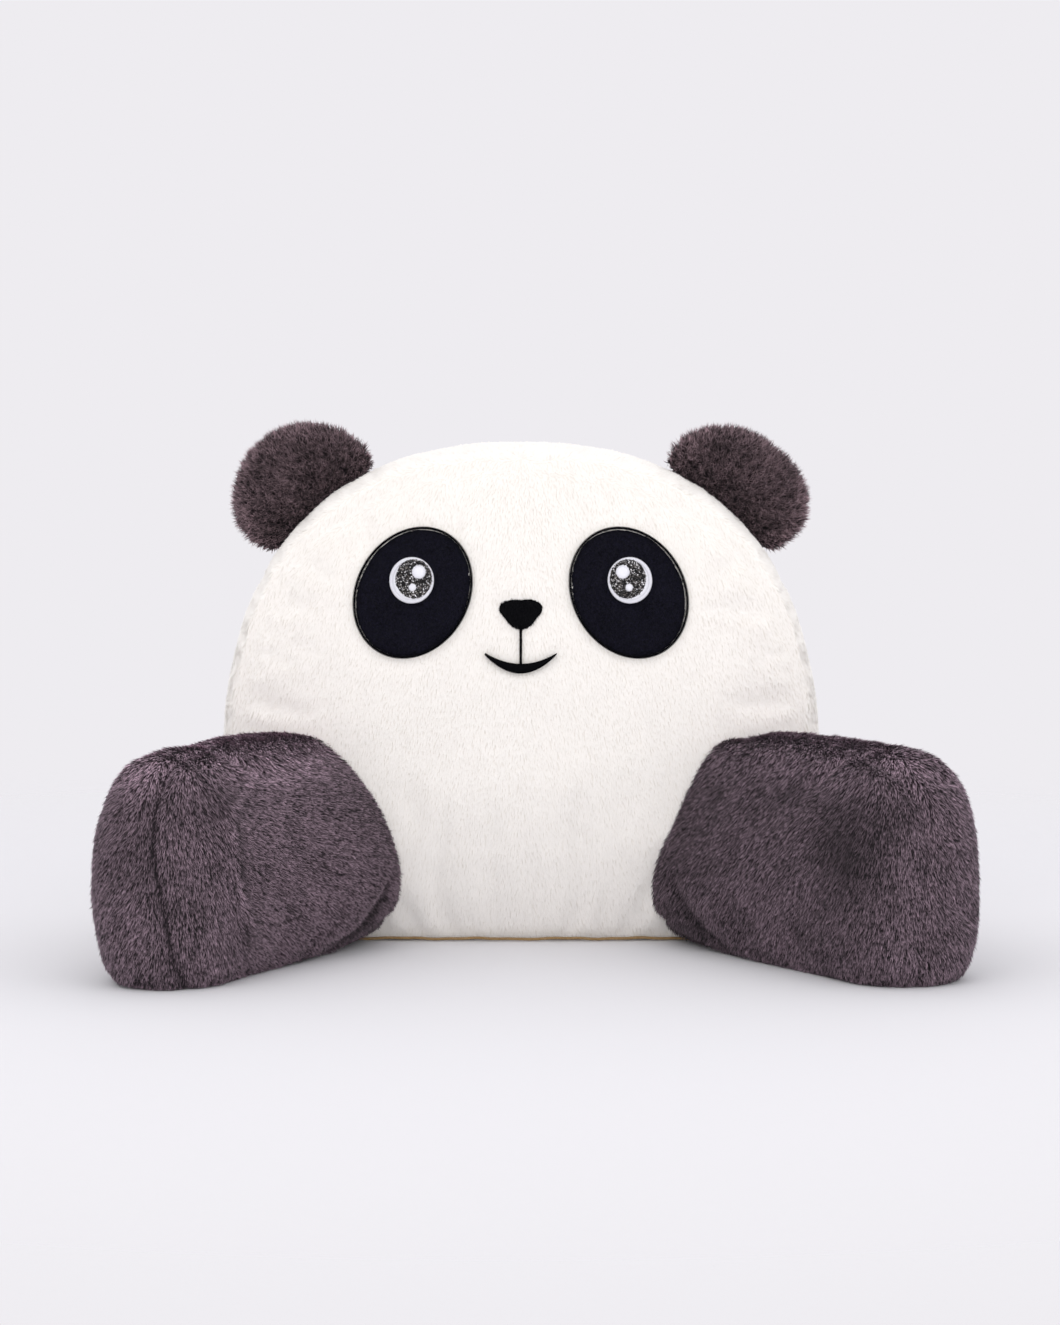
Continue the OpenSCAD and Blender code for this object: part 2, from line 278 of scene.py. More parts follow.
def earLocal(points, side):
    # an ear's own space: its seam along X, outwards from the head +Z, front -Y
    x, y, z = (points * mirror(side) - earHinge).T
    x, z = turned(x, z, math.radians(earForm["slope"]))
    return np.stack([x, y, z], -1)


def turnEar(vectors, side, hinge=0):
    # back from an ear's own space; hinge moves points there as well
    x, y, z = vectors.T
    x, z = turned(x, z, -math.radians(earForm["slope"]))
    return (np.stack([x, y, z], -1) + hinge) * mirror(side)


def torsoDepth(points):
    # roughly how deep inside the torso a point lies, below 0 outside
    yFace, zFace = panelLocal(points, -1)
    yBack, _ = panelLocal(points, 1)
    share = torsoShare(points[:, 0], zFace)
    front = yFace + torsoForm["faceSwell"] * swell(share)
    back = -(yBack - torsoForm["backSwell"] * swell(share))
    return np.minimum(np.minimum(front, back), (1.02 - share) * 0.2)


def earRootDepth(points, side):
    # how deep inside the round roll of an ear's seam a point lies
    x, y, z = earLocal(points, side).T
    return earForm["rootRadius"] - np.hypot(y, z) + np.where(np.abs(x) > earForm["seamHalf"], -1, 0)


def rootDepth(points, side):
    # how deep inside the round root of an arm, about its hinge axis
    local = armLocal(points, side)
    height = np.clip(local[:, 2], 0, armForm["height"])
    top, waist, low = 0.167, 0.055, 0.056
    upper = np.clip((height - waist) / (top - waist), 0, 1)
    lower = np.clip((waist - height) / low, 0, 1)
    radius = np.where(height > waist, (1 - upper ** 1.75) ** (1 / 1.75), (1 - lower ** 2.6) ** (1 / 2.6))
    radius = radius * armForm["rootRadius"]
    return radius - np.hypot(local[:, 0], local[:, 1]) + np.where(local[:, 2] > top, -1, 0)


# stuffed forms, puffed out by simulation between their seams


def remeshed(name, points, faces, voxel):
    obj = meshObject(name, points, faces)
    remesh = obj.modifiers.new("even", "REMESH")
    remesh.mode, remesh.voxel_size = "VOXEL", voxel
    return settled(obj)


def nodesTogether(nodes):
    points, faces, first = [], [], 0
    for node in nodes:
        mesh = bpy.data.objects[node].data
        points.append(places(mesh))
        faces += [tuple(first + v for v in p.vertices) for p in mesh.polygons]
        first += len(mesh.vertices)
    return np.concatenate(points), faces


def stuffed(obj, s, seamDistance, reshape=None):
    # the cover pulled in to its backing cloth, then blown up like a filled cushion between pinned seams
    mesh = obj.data
    ease = Ease(mesh)
    points = ease.even(places(mesh), s["smooth"], 0.4)
    points[:, 2] = np.where(places(mesh)[:, 2] < 0.0006, 0, points[:, 2])
    move(mesh, points)
    normals = normalsOf(mesh)
    flat = smoothStep(0.6, 0.95, -normals[:, 2]) * (points[:, 2] < 0.02)
    inset = points - normals * s["pile"] * (1 - flat)[:, None]
    inset[:, 2] = np.maximum(inset[:, 2], 0.0008)
    move(mesh, inset)
    distance = seamDistance(inset)
    puffed = inset.copy()
    group = obj.vertex_groups.new(name="seam")
    for i in np.nonzero((distance < s["seamWidth"]) | (flat > 0.5))[0]:
        group.add([int(i)], 1.0, "REPLACE")
    cloth = obj.modifiers.new("cloth", "CLOTH")
    cloth.settings.quality = 5
    cloth.settings.mass = 0.2
    cloth.settings.tension_stiffness = cloth.settings.compression_stiffness = 12
    cloth.settings.shear_stiffness, cloth.settings.bending_stiffness = 6, s["stiff"]
    cloth.settings.use_pressure, cloth.settings.uniform_pressure_force = True, s["pressure"]
    cloth.settings.shrink_min = -s["loose"]
    cloth.settings.vertex_group_mass = "seam"
    cloth.settings.effector_weights.gravity = 0
    cloth.collision_settings.use_collision = False
    cloth.point_cache.frame_start, cloth.point_cache.frame_end = 1, 20
    for step in range(1, 21):
        scene.frame_set(step)
    graph = bpy.context.evaluated_depsgraph_get()
    puffed = places(obj.evaluated_get(graph).data)
    obj.modifiers.clear()
    obj.vertex_groups.clear()
    scene.frame_set(1)
    # the broad swelling is held to the cut size, so the wrinkles and the pull at the seams stay
    moved = puffed - inset
    moved -= ease.even(moved, s["spread"], 0.6) * s["held"]
    length = np.linalg.norm(moved, axis=1, keepdims=True)
    moved *= np.minimum(1, s["most"] / np.maximum(length, 1e-9))
    groove = s["groove"] * bump(distance, s["grooveWidth"]) - s["crown"] * smoothStep(0, s["crownAt"], distance)
    groove *= 1 - flat
    made = inset + moved - normals * groove[:, None]
    if reshape:
        made = reshape(made)
    made[:, 2] = np.maximum(made[:, 2], 0.0008)
    move(mesh, ease.even(made, 1, 0.3))
    fine = obj.modifiers.new("fine", "SUBSURF")
    fine.levels = fine.render_levels = 1
    settled(obj)
    obj.data.shade_smooth()
    print(obj.name, "stuffed:", len(obj.data.vertices), "points, moved up to",
          round(float(np.abs(moved).max()) * 1000, 1), "mm")
    return obj


torsoCover = {
    "voxel": 0.0058, "pile": 0.0034, "smooth": 5, "seamWidth": 0.004, "stiff": 0.4, "pressure": 4.0, "loose": 0.03,
    "spread": 90, "held": 0.97, "most": 0.005, "groove": 0.0012, "grooveWidth": 0.006,
    "crown": 0.0, "crownAt": 0.03,
}


def torsoSeams(points):
    yFace, _ = panelLocal(points, -1)
    yBack, _ = panelLocal(points, 1)
    front = np.where(yFace < 0, -yFace / 0.36, yFace)
    back = np.where(yBack > 0, yBack / 0.3, -yBack)
    return np.minimum(np.minimum(front, back), np.abs(points[:, 2] - 0.004))


facePieces = {
    "patchX": 0.0845, "patchZ": 0.2745, "patchWidth": 0.0855, "patchLength": 0.104, "patchLean": 29.5,
    "borderWidth": 0.0026, "eyeX": 0.0853, "eyeZ": 0.284, "eyeWidth": 0.035, "eyeHeight": 0.0365,
    "irisX": 0.0835, "irisZ": 0.2852, "irisWidth": 0.0288, "irisHeight": 0.031,
    "noseZ": 0.258, "noseWidth": 0.0315, "noseHeight": 0.0233, "mouthTop": 0.2265, "mouthDrop": 0.0145,
    "mouthThick": 0.006, "smileWidth": 0.056, "philtrumWidth": 0.0024,
}
noseCut = {"bulge": 0.13, "wider": 1.02, "up": 0.001}


def ovalShare(x, z, cx, cz, width, height, turn):
    a = math.radians(turn)
    dx, dz = x - cx, z - cz
    u = dx * math.cos(a) + dz * math.sin(a)
    v = -dx * math.sin(a) + dz * math.cos(a)
    return np.hypot(u / (width / 2), v / (height / 2))


def noseShare(x, z):
    f = facePieces
    u = x / (f["noseWidth"] / 2 * noseCut["wider"])
    v = (z - f["noseZ"] - noseCut["up"]) / (f["noseHeight"] / 2)
    return np.hypot(u, v) / (1 + noseCut["bulge"] * np.cos(3 * (np.arctan2(v, u) + math.pi / 2)))


def faceEdge(points):
    # distance from the edge of the nearest patch, the nose or the mouth, on the face
    f = facePieces
    x, z = np.abs(points[:, 0]), panelLocal(points, -1)[1]
    patch = ovalShare(x, z, f["patchX"], f["patchZ"], f["patchWidth"], f["patchLength"], f["patchLean"])
    near = np.minimum(np.abs(patch - 1) * f["patchWidth"] / 2, np.abs(noseShare(x, z) - 1) * f["noseWidth"] / 2)
    u = np.minimum(x / (f["smileWidth"] / 2), 1)
    low = f["mouthTop"] - f["mouthDrop"] * (1 - u ** 2)
    mouth = np.hypot(np.maximum(x - f["smileWidth"] / 2, 0), z - low - f["mouthThick"] / 2 * (1 - u ** 2))
    return np.where(points[:, 1] < -0.03, np.minimum(near, mouth), 1.0)


def torsoShape(points):
    # the face is drawn in where the patches, the nose and the mouth are sewn down
    made = points.copy()
    made[:, 1] += 0.0016 * bump(faceEdge(points), 0.007)
    return made


torso = remeshed("torso_cover", *torsoMesh(), torsoCover["voxel"])
stuffed(torso, torsoCover, torsoSeams, torsoShape)

armCover = {
    "voxel": 0.0046, "pile": 0.0036, "smooth": 14, "seamWidth": 0.0032, "stiff": 0.3, "pressure": 4.5,
    "loose": 0.03, "spread": 60, "held": 0.95, "most": 0.005, "groove": 0.0036, "grooveWidth": 0.0048, "crown": 0.0016,
    "crownAt": 0.03,
}


def noseSeam(local, side):
    # distance from the seam that climbs an arm's nose; on top it fades out towards the torso
    shift = np.interp(local[:, 2], armForm["seamHeights"], armForm["seamShift"][side])
    back = smoothStep(-0.20, -0.10, local[:, 1])
    return np.abs(local[:, 0] - shift * (1 - 0.8 * back)) + back * 0.008 + (0.0018 if side == "right" else 0.0)


def armSeams(side):
    def seams(points):
        local = armLocal(points, side)
        return np.minimum(noseSeam(local, side), np.abs(local[:, 2] - armForm["baseSeam"]) + 0.005)
    return seams


def toPath(local, path):
    # distance of points from a path
    found = np.full(len(local), 9.0)
    for a, b in zip(np.array(path[:-1]), np.array(path[1:])):
        t = np.clip((local - a) @ (b - a) / ((b - a) @ (b - a)), 0, 1)
        found = np.minimum(found, np.linalg.norm(local - a - t[:, None] * (b - a), axis=1))
    return found


def armShape(points, side):
    # the fold under the arm and the ridge of the pile, and how each arm has settled
    local = armLocal(points, side)
    fold = bump(toPath(local, armForm["fold"]), 0.0055)
    local[:, 0] += 0.0050 * fold
    # it settles onto the floor, and its outer top corner is less full
    local[:, 2] -= 0.0042 * smoothStep(0.034, 0.004, local[:, 2])
    if side == "left":
        corner = smoothStep(0.0, 0.05, local[:, 0]) * smoothStep(0.10, 0.165, local[:, 2])
        local[:, 2] -= 0.0045 * (corner * smoothStep(0.10, 0.22, -local[:, 1]))
        local[:, 0] -= 0.0022 * bump(toPath(local, armForm["ridge"]), 0.006)
        near = bump(local[:, 1] + 0.03, 0.09) * smoothStep(-0.02, -0.06, local[:, 0])
        local[:, 0] -= 0.0100 * bump(local[:, 2] - 0.065, 0.07) * near
        foot = smoothStep(0.07, 0.01, local[:, 2]) * smoothStep(0.0, 0.04, local[:, 0])
        local[:, 0] -= 0.0060 * (foot * smoothStep(-0.12, -0.2, local[:, 1]))
    else:
        full = bump(local[:, 2] - 0.09, 0.06) * smoothStep(0.0, 0.05, local[:, 0])
        local[:, 0] += 0.0035 * (full * smoothStep(-0.08, -0.18, local[:, 1]))
        near = smoothStep(-0.17, -0.08, local[:, 1]) * smoothStep(-0.02, -0.06, local[:, 0])
        local[:, 0] += 0.0070 * bump(local[:, 2] - 0.115, 0.055) * near
        high = bump(local[:, 2] - 0.145, 0.03) * smoothStep(0.02, 0.05, local[:, 0])
        local[:, 0] += 0.0040 * (high * smoothStep(-0.08, -0.16, local[:, 1]))
    return armWorld(local, side)


def earShape(points, side):
    # each ear drawn out to its own outline, with corners at the ends of its seam
    local = earLocal(points, side)
    f = earForm
    x, z = local[:, 0], local[:, 2] - f["rise"]
    r = np.hypot(x, z)
    angle = np.degrees(np.arctan2(z, x))
    angle = np.where(angle < -90, angle + 360, angle)
    want = np.interp(angle, f["angles"], f["reach"][side]) / 1000 - f["pile"]
    up = local[:, 2]
    root = np.sqrt(np.maximum(f["rootRadius"] ** 2 - np.minimum(up, 0) ** 2, 0))
    edge = np.sqrt(np.maximum(f["radius"] ** 2 - z ** 2, 0))
    half = np.where(up < 0, f["seamHalf"] - f["rootRadius"] + root,
                    f["seamHalf"] + (edge - f["seamHalf"]) * smoothStep(0, 0.02, up))
    have = np.where(z > 0.02, f["radius"], np.hypot(half, z)) - earCover["pile"]
    grow = 1 + (want / have - 1) * smoothStep(0.2, 0.9, r / have)
    local[:, 0], local[:, 2] = x * grow, z * grow + f["rise"]
    return turnEar(local, side, earHinge)


armParts = ("inner_panel", "outer_panel", "base_panel", "stuffing")
earParts = ("front_panel", "back_panel", "stuffing")
arms = {}
for side in ("left", "right"):
    nodes = [f"arm_{part}_{side}" for part in armParts]
    arm = remeshed(f"arm_cover_{side}", *nodesTogether(nodes), armCover["voxel"])
    arms[side] = stuffed(arm, armCover, armSeams(side), lambda points, side=side: armShape(points, side))

earCover = {
    "voxel": 0.0034, "pile": 0.0044, "smooth": 6, "seamWidth": 0.0022, "stiff": 0.3, "pressure": 4.0, "loose": 0.02,
    "spread": 40, "held": 0.95, "most": 0.002, "groove": 0.0008, "grooveWidth": 0.003,
    "crown": 0.0, "crownAt": 0.02,
}
ears = {}
for side in ("left", "right"):
    nodes = [f"ear_{part}_{side}" for part in earParts]
    ear = remeshed(f"ear_cover_{side}", *nodesTogether(nodes), earCover["voxel"])
    ears[side] = stuffed(ear, earCover, lambda points, side=side: np.abs(earLocal(points, side)[:, 1]),
                         lambda points, side=side: earShape(points, side))

# geometry nodes: a tree is built from short lines, each a node with its settings and inputs


class Tree:
    def __init__(self, name, sockets, kind="GeometryNodeTree"):
        self.tree = bpy.data.node_groups.new(name, kind)
        face = self.tree.interface
        if kind == "GeometryNodeTree":
            self.tree.is_modifier = True
            face.new_socket("Geometry", in_out="INPUT", socket_type="NodeSocketGeometry")
            face.new_socket("Geometry", in_out="OUTPUT", socket_type="NodeSocketGeometry")
        for socketName, socketKind, value in sockets:
            socket = face.new_socket(socketName, in_out="INPUT", socket_type="NodeSocket" + socketKind)
            if value is not None:
                socket.default_value = value
        self.start = self.tree.nodes.new("NodeGroupInput")
        self.end = self.tree.nodes.new("NodeGroupOutput")

    def __getitem__(self, name):
        return self.start.outputs[name]

    def node(self, kind, settings=None, **values):
        node = self.tree.nodes.new(kind)
        for key, value in (settings or {}).items():
            setattr(node, key, value)
        for key, value in values.items():
            at = int(key[1:]) if key[0] == "i" and key[1:].isdigit() else key.replace("_", " ")
            socket = node.inputs[at]
            if isinstance(value, bpy.types.NodeSocket):
                self.tree.links.new(value, socket)
            else:
                socket.default_value = value
        return node

    def math(self, operation, *values):
        return self.node("ShaderNodeMath", {"operation": operation},
                         **{f"i{k}": v for k, v in enumerate(values)}).outputs[0]

    def vector(self, operation, *values):
        made = self.node("ShaderNodeVectorMath", {"operation": operation},
                         **{f"i{k}": v for k, v in enumerate(values)})
        return made.outputs["Value" if operation in ("LENGTH", "DISTANCE", "DOT_PRODUCT") else "Vector"]

    def scaled(self, vector, by):
        return self.node("ShaderNodeVectorMath", {"operation": "SCALE"}, i0=vector, Scale=by).outputs[0]

    def attribute(self, name, kind="FLOAT"):
        return self.node("GeometryNodeInputNamedAttribute", {"data_type": kind}, Name=name).outputs["Attribute"]

    def keep(self, geometry, name, value, kind="FLOAT"):
        return self.node("GeometryNodeStoreNamedAttribute", {"data_type": kind, "domain": "POINT"},
                         Geometry=geometry, Name=name, Value=value).outputs[0]

    def random(self, low, high, seed, kind="FLOAT"):
        if kind == "FLOAT":
            return self.node("FunctionNodeRandomValue", {"data_type": kind}, i2=low, i3=high, Seed=seed).outputs[1]
        return self.node("FunctionNodeRandomValue", {"data_type": kind}, i0=low, i1=high, Seed=seed).outputs[0]

    def scattered(self, density):
        # random points on the mesh, and the way each faces
        spread = self.node("GeometryNodeDistributePointsOnFaces", {"distribute_method": "RANDOM"},
                           Mesh=self["Geometry"], Density=density, Seed=self["Seed"])
        return spread.outputs["Points"], spread.outputs["Normal"]

    def aimed(self, along, up=None):
        # a turn that brings Z along one direction, and then Y towards another
        kind = "FunctionNodeAlignRotationToVector"
        turn = self.node(kind, {"axis": "Z"}, Vector=along).outputs[0]
        if up is None:
            return turn
        return self.node(kind, {"axis": "Y", "pivot_axis": "Z"}, Rotation=turn, Vector=up).outputs[0]

    def laid(self, points, instance, turn, scale):
        laid = self.node("GeometryNodeInstanceOnPoints", Points=points, Instance=instance, Rotation=turn,
                         Scale=scale).outputs[0]
        return self.node("GeometryNodeRealizeInstances", Geometry=laid).outputs[0]

    def moved(self, geometry, **how):
        return self.node("GeometryNodeSetPosition", Geometry=geometry, **how).outputs[0]

    def rounded(self, geometry):
        return self.node("GeometryNodeSetShadeSmooth", Geometry=geometry).outputs[0]

    def later(self, seed):
        # a seed of its own, a fixed step after the tree's
        return self.math("ADD", self["Seed"], seed)

    def close(self, geometry):
        made = self.node("GeometryNodeSetMaterial", Geometry=geometry, Material=self["Material"]).outputs[0]
        self.tree.links.new(made, self.end.inputs["Geometry"])
        return self.tree


def grown(tree, onto, name, material, **values):
    # runs a tree on a copy of a mesh and returns what it makes as a plain object
    host = bpy.data.objects.new(name + "_host", onto)
    scene.collection.objects.link(host)
    modifier = host.modifiers.new("made", "NODES")
    modifier.node_group = tree
    given = {"Material": material, **{k.replace("_", " "): v for k, v in values.items()}}
    for item in tree.interface.items_tree:
        if item.in_out == "INPUT" and item.name in given:
            modifier[item.identifier] = given[item.name]
    made = settled(host, name)
    bpy.data.objects.remove(host)
    return made


def pileTree():
    t = Tree("pile", [
        ("Material", "Material", None), ("Where", "String", "density"), ("Density", "Float", 400000.0),
        ("Length", "Float", 0.009), ("Width", "Float", 0.001), ("Rise", "Float", 0.6), ("Lean", "Float", 0.8),
        ("Clump", "Float", 0.6), ("Clump size", "Float", 0.006), ("Stray", "Float", 0.25), ("Droop", "Float", 0.25),
        ("Spin", "Float", 0.6), ("Floor", "Float", 0.0004), ("Seed", "Int", 1),
    ])
    density = t.math("MULTIPLY", t.attribute(t["Where"]), t["Density"])
    points, up = t.scattered(density)
    place = t.node("GeometryNodeInputPosition").outputs[0]
    scale = t.math("DIVIDE", 1.0, t["Clump size"])
    noise = t.node("ShaderNodeTexNoise", {"noise_dimensions": "3D"}, Vector=place, Scale=scale, Detail=1.5)
    tuft = t.vector("SUBTRACT", noise.outputs["Color"], (0.5, 0.5, 0.5))
    tuft = t.scaled(tuft, t.math("MULTIPLY", t["Clump"], 4.0))
    stray = t.scaled(t.random((-1, -1, -1), (1, 1, 1), t["Seed"], "FLOAT_VECTOR"), t["Stray"])
    nap = t.scaled(t.attribute("nap", "FLOAT_VECTOR"), t["Lean"])
    aim = t.vector("ADD", t.vector("ADD", t.scaled(up, t["Rise"]), nap), t.vector("ADD", tuft, stray))
    # no hair points back into the cloth
    inward = t.math("MINIMUM", t.vector("DOT_PRODUCT", aim, up), 0.12)
    aim = t.vector("SUBTRACT", aim, t.scaled(up, t.math("SUBTRACT", inward, 0.12)))
    turn = t.aimed(aim, up)
    spin = t.random(t.math("MULTIPLY", t["Spin"], -1.0), t["Spin"], t.later(5.0))
    spun = t.node("FunctionNodeAxisAngleToRotation", Axis=(0, 0, 1), Angle=spin).outputs[0]
    turn = t.node("FunctionNodeRotateRotation", {"rotation_space": "LOCAL"}, Rotation=turn,
                  Rotate_By=spun).outputs[0]
    size = t.math("MULTIPLY", t.random(0.7, 1.15, t.later(9.0)), t["Length"])
    size = t.math("MULTIPLY", size, t.attribute("tall"))
    grow = t.node("ShaderNodeCombineXYZ", X=t["Width"], Y=size, Z=size).outputs[0]
    points = t.keep(points, "shade", t.random(0.0, 1.0, t.later(17.0)))
    points = t.keep(points, "up", up, "FLOAT_VECTOR")
    # one hair: a narrow strip that comes to a point and droops
    strip = t.node("GeometryNodeMeshGrid", Size_X=1.0, Size_Y=1.0, Vertices_X=2, Vertices_Y=3).outputs["Mesh"]
    axes = t.node("ShaderNodeSeparateXYZ", Vector=place)
    along = t.math("ADD", axes.outputs[1], 0.5)
    strip = t.keep(strip, "tip", along)
    taper = t.math("SUBTRACT", 1.0, t.math("POWER", along, 2.5))
    across = t.math("MULTIPLY", t.math("MULTIPLY", axes.outputs[0], -1.0), taper)
    fall = t.math("MULTIPLY", t.math("POWER", along, 2.0), t.math("MULTIPLY", t["Droop"], -1.0))
    shape = t.node("ShaderNodeCombineXYZ", X=across, Y=fall, Z=along).outputs[0]
    strip = t.moved(strip, Position=shape)
    strip = t.node("GeometryNodeMergeByDistance", Geometry=strip, Distance=0.001).outputs[0]
    hairs = t.laid(points, strip, turn, grow)
    axes = t.node("ShaderNodeSeparateXYZ", Vector=place)
    above = t.node("ShaderNodeCombineXYZ", X=axes.outputs[0], Y=axes.outputs[1],
                   Z=t.math("MAXIMUM", axes.outputs[2], t["Floor"])).outputs[0]
    return t.close(t.rounded(t.moved(hairs, Position=above)))


pile = pileTree()

# finishes


def shadeGroup(name, inputs, outputs, build):
    t = Tree(name, inputs, "ShaderNodeTree")
    for socketName, socketKind in outputs:
        t.tree.interface.new_socket(socketName, in_out="OUTPUT", socket_type="NodeSocket" + socketKind)
    build(t)
    return t.tree


def buildPileShade(t):
    def read(name):
        return t.node("ShaderNodeAttribute", {"attribute_name": name})
    # each hair is darker at its root than at its tip: painted shade deep in the pile
    tip = read("tip").outputs["Fac"]
    along = t.math("POWER", tip, t["Gradient"])
    base = t.node("ShaderNodeMix", {"data_type": "RGBA"}, Factor=along)
    t.tree.links.new(t["Root"], base.inputs[6])
    t.tree.links.new(t["Tip"], base.inputs[7])
    where = t.node("ShaderNodeTexCoord").outputs["Object"]
    mottle = t.node("ShaderNodeTexNoise", Vector=where, Scale=t["Mottle scale"], Detail=3.0).outputs["Fac"]
    each = t.math("MULTIPLY", t.math("SUBTRACT", read("shade").outputs["Fac"], 0.5), t["Hair spread"])
    wide = t.math("MULTIPLY", t.math("SUBTRACT", mottle, 0.5), t["Mottle"])
    tuft = t.node("ShaderNodeTexNoise", Vector=where, Scale=t["Tuft scale"], Detail=2.0).outputs["Fac"]
    tufts = t.math("MULTIPLY", t.math("SUBTRACT", tuft, 0.5), t["Tufts"])
    whole = t.math("ADD", t.math("ADD", 1.0, each), t.math("ADD", wide, tufts))
    # painted_light scales the colour: painted light and shade on the arms and ears, 1 on the torso and the face
    whole = t.math("MULTIPLY", whole, read("painted_light").outputs["Fac"])
    lit = t.scaled(base.outputs[2], t.math("MAXIMUM", whole, 0.05))
    t.tree.links.new(lit, t.end.inputs["Colour"])
    world = t.node("ShaderNodeVectorTransform", {"vector_type": "NORMAL", "convert_from": "OBJECT",
                                                 "convert_to": "WORLD"}, Vector=read("up").outputs["Vector"])
    own = t.node("ShaderNodeNewGeometry").outputs["Normal"]
    facing = t.math("SUBTRACT", 1.0, t.math("MULTIPLY", t["Under"], 2.0))
    soft = t.node("ShaderNodeMix", {"data_type": "VECTOR"}, Factor=t["Softness"])
    t.tree.links.new(own, soft.inputs[4])
    t.tree.links.new(t.scaled(world.outputs[0], facing), soft.inputs[5])
    t.tree.links.new(t.vector("NORMALIZE", soft.outputs[1]), t.end.inputs["Normal"])


pileShade = shadeGroup("pileShade", [
    ("Root", "Color", (0.5, 0.5, 0.5, 1)), ("Tip", "Color", (0.8, 0.8, 0.8, 1)), ("Gradient", "Float", 0.7),
    ("Hair spread", "Float", 0.2), ("Mottle", "Float", 0.2), ("Mottle scale", "Float", 60.0),
    ("Tufts", "Float", 0.0), ("Tuft scale", "Float", 300.0), ("Softness", "Float", 0.5), ("Under", "Float", 0.0),
], [("Colour", "Color"), ("Normal", "Vector")], buildPileShade)


def buildWeave(t):
    # fine crossing threads in the cloth under the pile, as a height
    where = t.node("ShaderNodeTexCoord").outputs["Object"]
    waves = [t.node("ShaderNodeTexWave", {"bands_direction": way}, Vector=where, Scale=t["Threads"],
                    Distortion=1.0).outputs["Fac"] for way in ("X", "Y", "Z")]
    fuzz = t.node("ShaderNodeTexNoise", Vector=where, Scale=t["Fuzz scale"], Detail=4.0).outputs["Fac"]
    height = t.math("ADD", t.math("ADD", waves[0], waves[1]), t.math("ADD", waves[2], fuzz))
    t.tree.links.new(t.math("MULTIPLY", height, 0.25), t.end.inputs["Height"])
    t.tree.links.new(fuzz, t.end.inputs["Fuzz"])


weave = shadeGroup("weave", [("Threads", "Float", 300.0), ("Fuzz scale", "Float", 400.0)],
                   [("Height", "Float"), ("Fuzz", "Float")], buildWeave)


def newMaterial(name):
    material = bpy.data.materials.new(name)
    material.use_nodes = True
    nodes, links = material.node_tree.nodes, material.node_tree.links
    return material, nodes, links, nodes["Principled BSDF"]


pileBase = {"Hair spread": 0.5, "Softness": 0.5, "rough": 0.85, "shine": 0.08, "sheen": 0.0,
            "sheenTint": (1, 1, 1, 1)}
clothBase = {"threads": 300.0, "fuzz": 300.0, "bump": 0.3, "depth": 0.0005, "rough": 0.9, "shine": 0.2}


def pileMaterial(name, root, tip, **given):
    # given holds inputs of the shade group, with _ for a space, and the settings in pileBase
    s = {**pileBase, "Root": linear(*root), "Tip": linear(*tip)}
    s.update({key.replace("_", " "): value for key, value in given.items()})
    material, nodes, links, shader = newMaterial(name)
    group = nodes.new("ShaderNodeGroup")
    group.node_tree = pileShade
    for key in s:
        if key in group.inputs:
            group.inputs[key].default_value = s[key]
    links.new(nodes.new("ShaderNodeNewGeometry").outputs["Backfacing"], group.inputs["Under"])
    links.new(group.outputs["Colour"], shader.inputs["Base Color"])
    links.new(group.outputs["Normal"], shader.inputs["Normal"])
    for key, value in {"Roughness": s["rough"], "Specular IOR Level": s["shine"], "Sheen Weight": s["sheen"],
                       "Sheen Roughness": 0.5, "Sheen Tint": s["sheenTint"]}.items():
        shader.inputs[key].default_value = value
    return material


def clothMaterial(name, dark, light, **given):
    # plain cloth, thread or satin: two near colours through fuzz, and a fine thread bump
    s = {**clothBase, **given}
    material, nodes, links, shader = newMaterial(name)
    group = nodes.new("ShaderNodeGroup")
    group.node_tree = weave
    group.inputs["Threads"].default_value = s["threads"]
    group.inputs["Fuzz scale"].default_value = s["fuzz"]
    mix = nodes.new("ShaderNodeMix")
    mix.data_type = "RGBA"
    mix.inputs[6].default_value, mix.inputs[7].default_value = linear(*dark), linear(*light)
    links.new(group.outputs["Fuzz"], mix.inputs[0])
    links.new(mix.outputs[2], shader.inputs["Base Color"])
    raised = nodes.new("ShaderNodeBump")
    raised.inputs["Strength"].default_value = s["bump"]
    raised.inputs["Distance"].default_value = s["depth"]
    links.new(group.outputs["Height"], raised.inputs["Height"])
    links.new(raised.outputs["Normal"], shader.inputs["Normal"])
    shader.inputs["Roughness"].default_value = s["rough"]
    shader.inputs["Specular IOR Level"].default_value = s["shine"]
    return material


# the Root colours, darker than the Tip colours, hold painted shade deep in the pile
whitePile = pileMaterial("white pile", (246, 242, 237), (252, 249, 245), Gradient=0.6, Hair_spread=0.03,
                         Mottle=0.04, Mottle_scale=26.0, Softness=0.9, rough=0.9, shine=0.15)
charcoalBase = {"rough": 0.75, "shine": 0.25, "sheen": 0.12, "sheenTint": (0.9, 0.82, 0.88, 1)}
charcoalPile = pileMaterial("charcoal pile", (26, 18, 23), (146, 125, 137), Gradient=1.6, Hair_spread=1.9,
                            Mottle=1.1, Mottle_scale=30.0, Tufts=2.8, Tuft_scale=400.0, Softness=0.4,
                            **charcoalBase)
earPile = pileMaterial("ear pile", (20, 14, 18), (150, 126, 132), Gradient=2.0, Hair_spread=1.2,
                       Mottle=1.5, Mottle_scale=45.0, Tufts=3.0, Tuft_scale=240.0, Softness=0.3, **charcoalBase)
navyPile = pileMaterial("navy minky pile", (6, 6, 12), (27, 26, 40), Gradient=0.9, Hair_spread=1.0, Mottle=0.8,
                        Mottle_scale=50.0, Tufts=1.8, Tuft_scale=500.0, sheen=0.02, sheenTint=(0.7, 0.7, 1, 1))
nosePile = pileMaterial("black nose pile", (6, 6, 8), (16, 16, 19), Gradient=0.8, Mottle=0.3, Mottle_scale=60.0)
whiteCloth = clothMaterial("white backing", (238, 233, 226), (247, 244, 239))
charcoalCloth = clothMaterial("charcoal backing", (30, 23, 28), (52, 42, 49))
navyCloth = clothMaterial("navy backing", (14, 14, 20), (24, 24, 34), threads=400.0, fuzz=500.0, depth=0.0003,
                          shine=0.15)
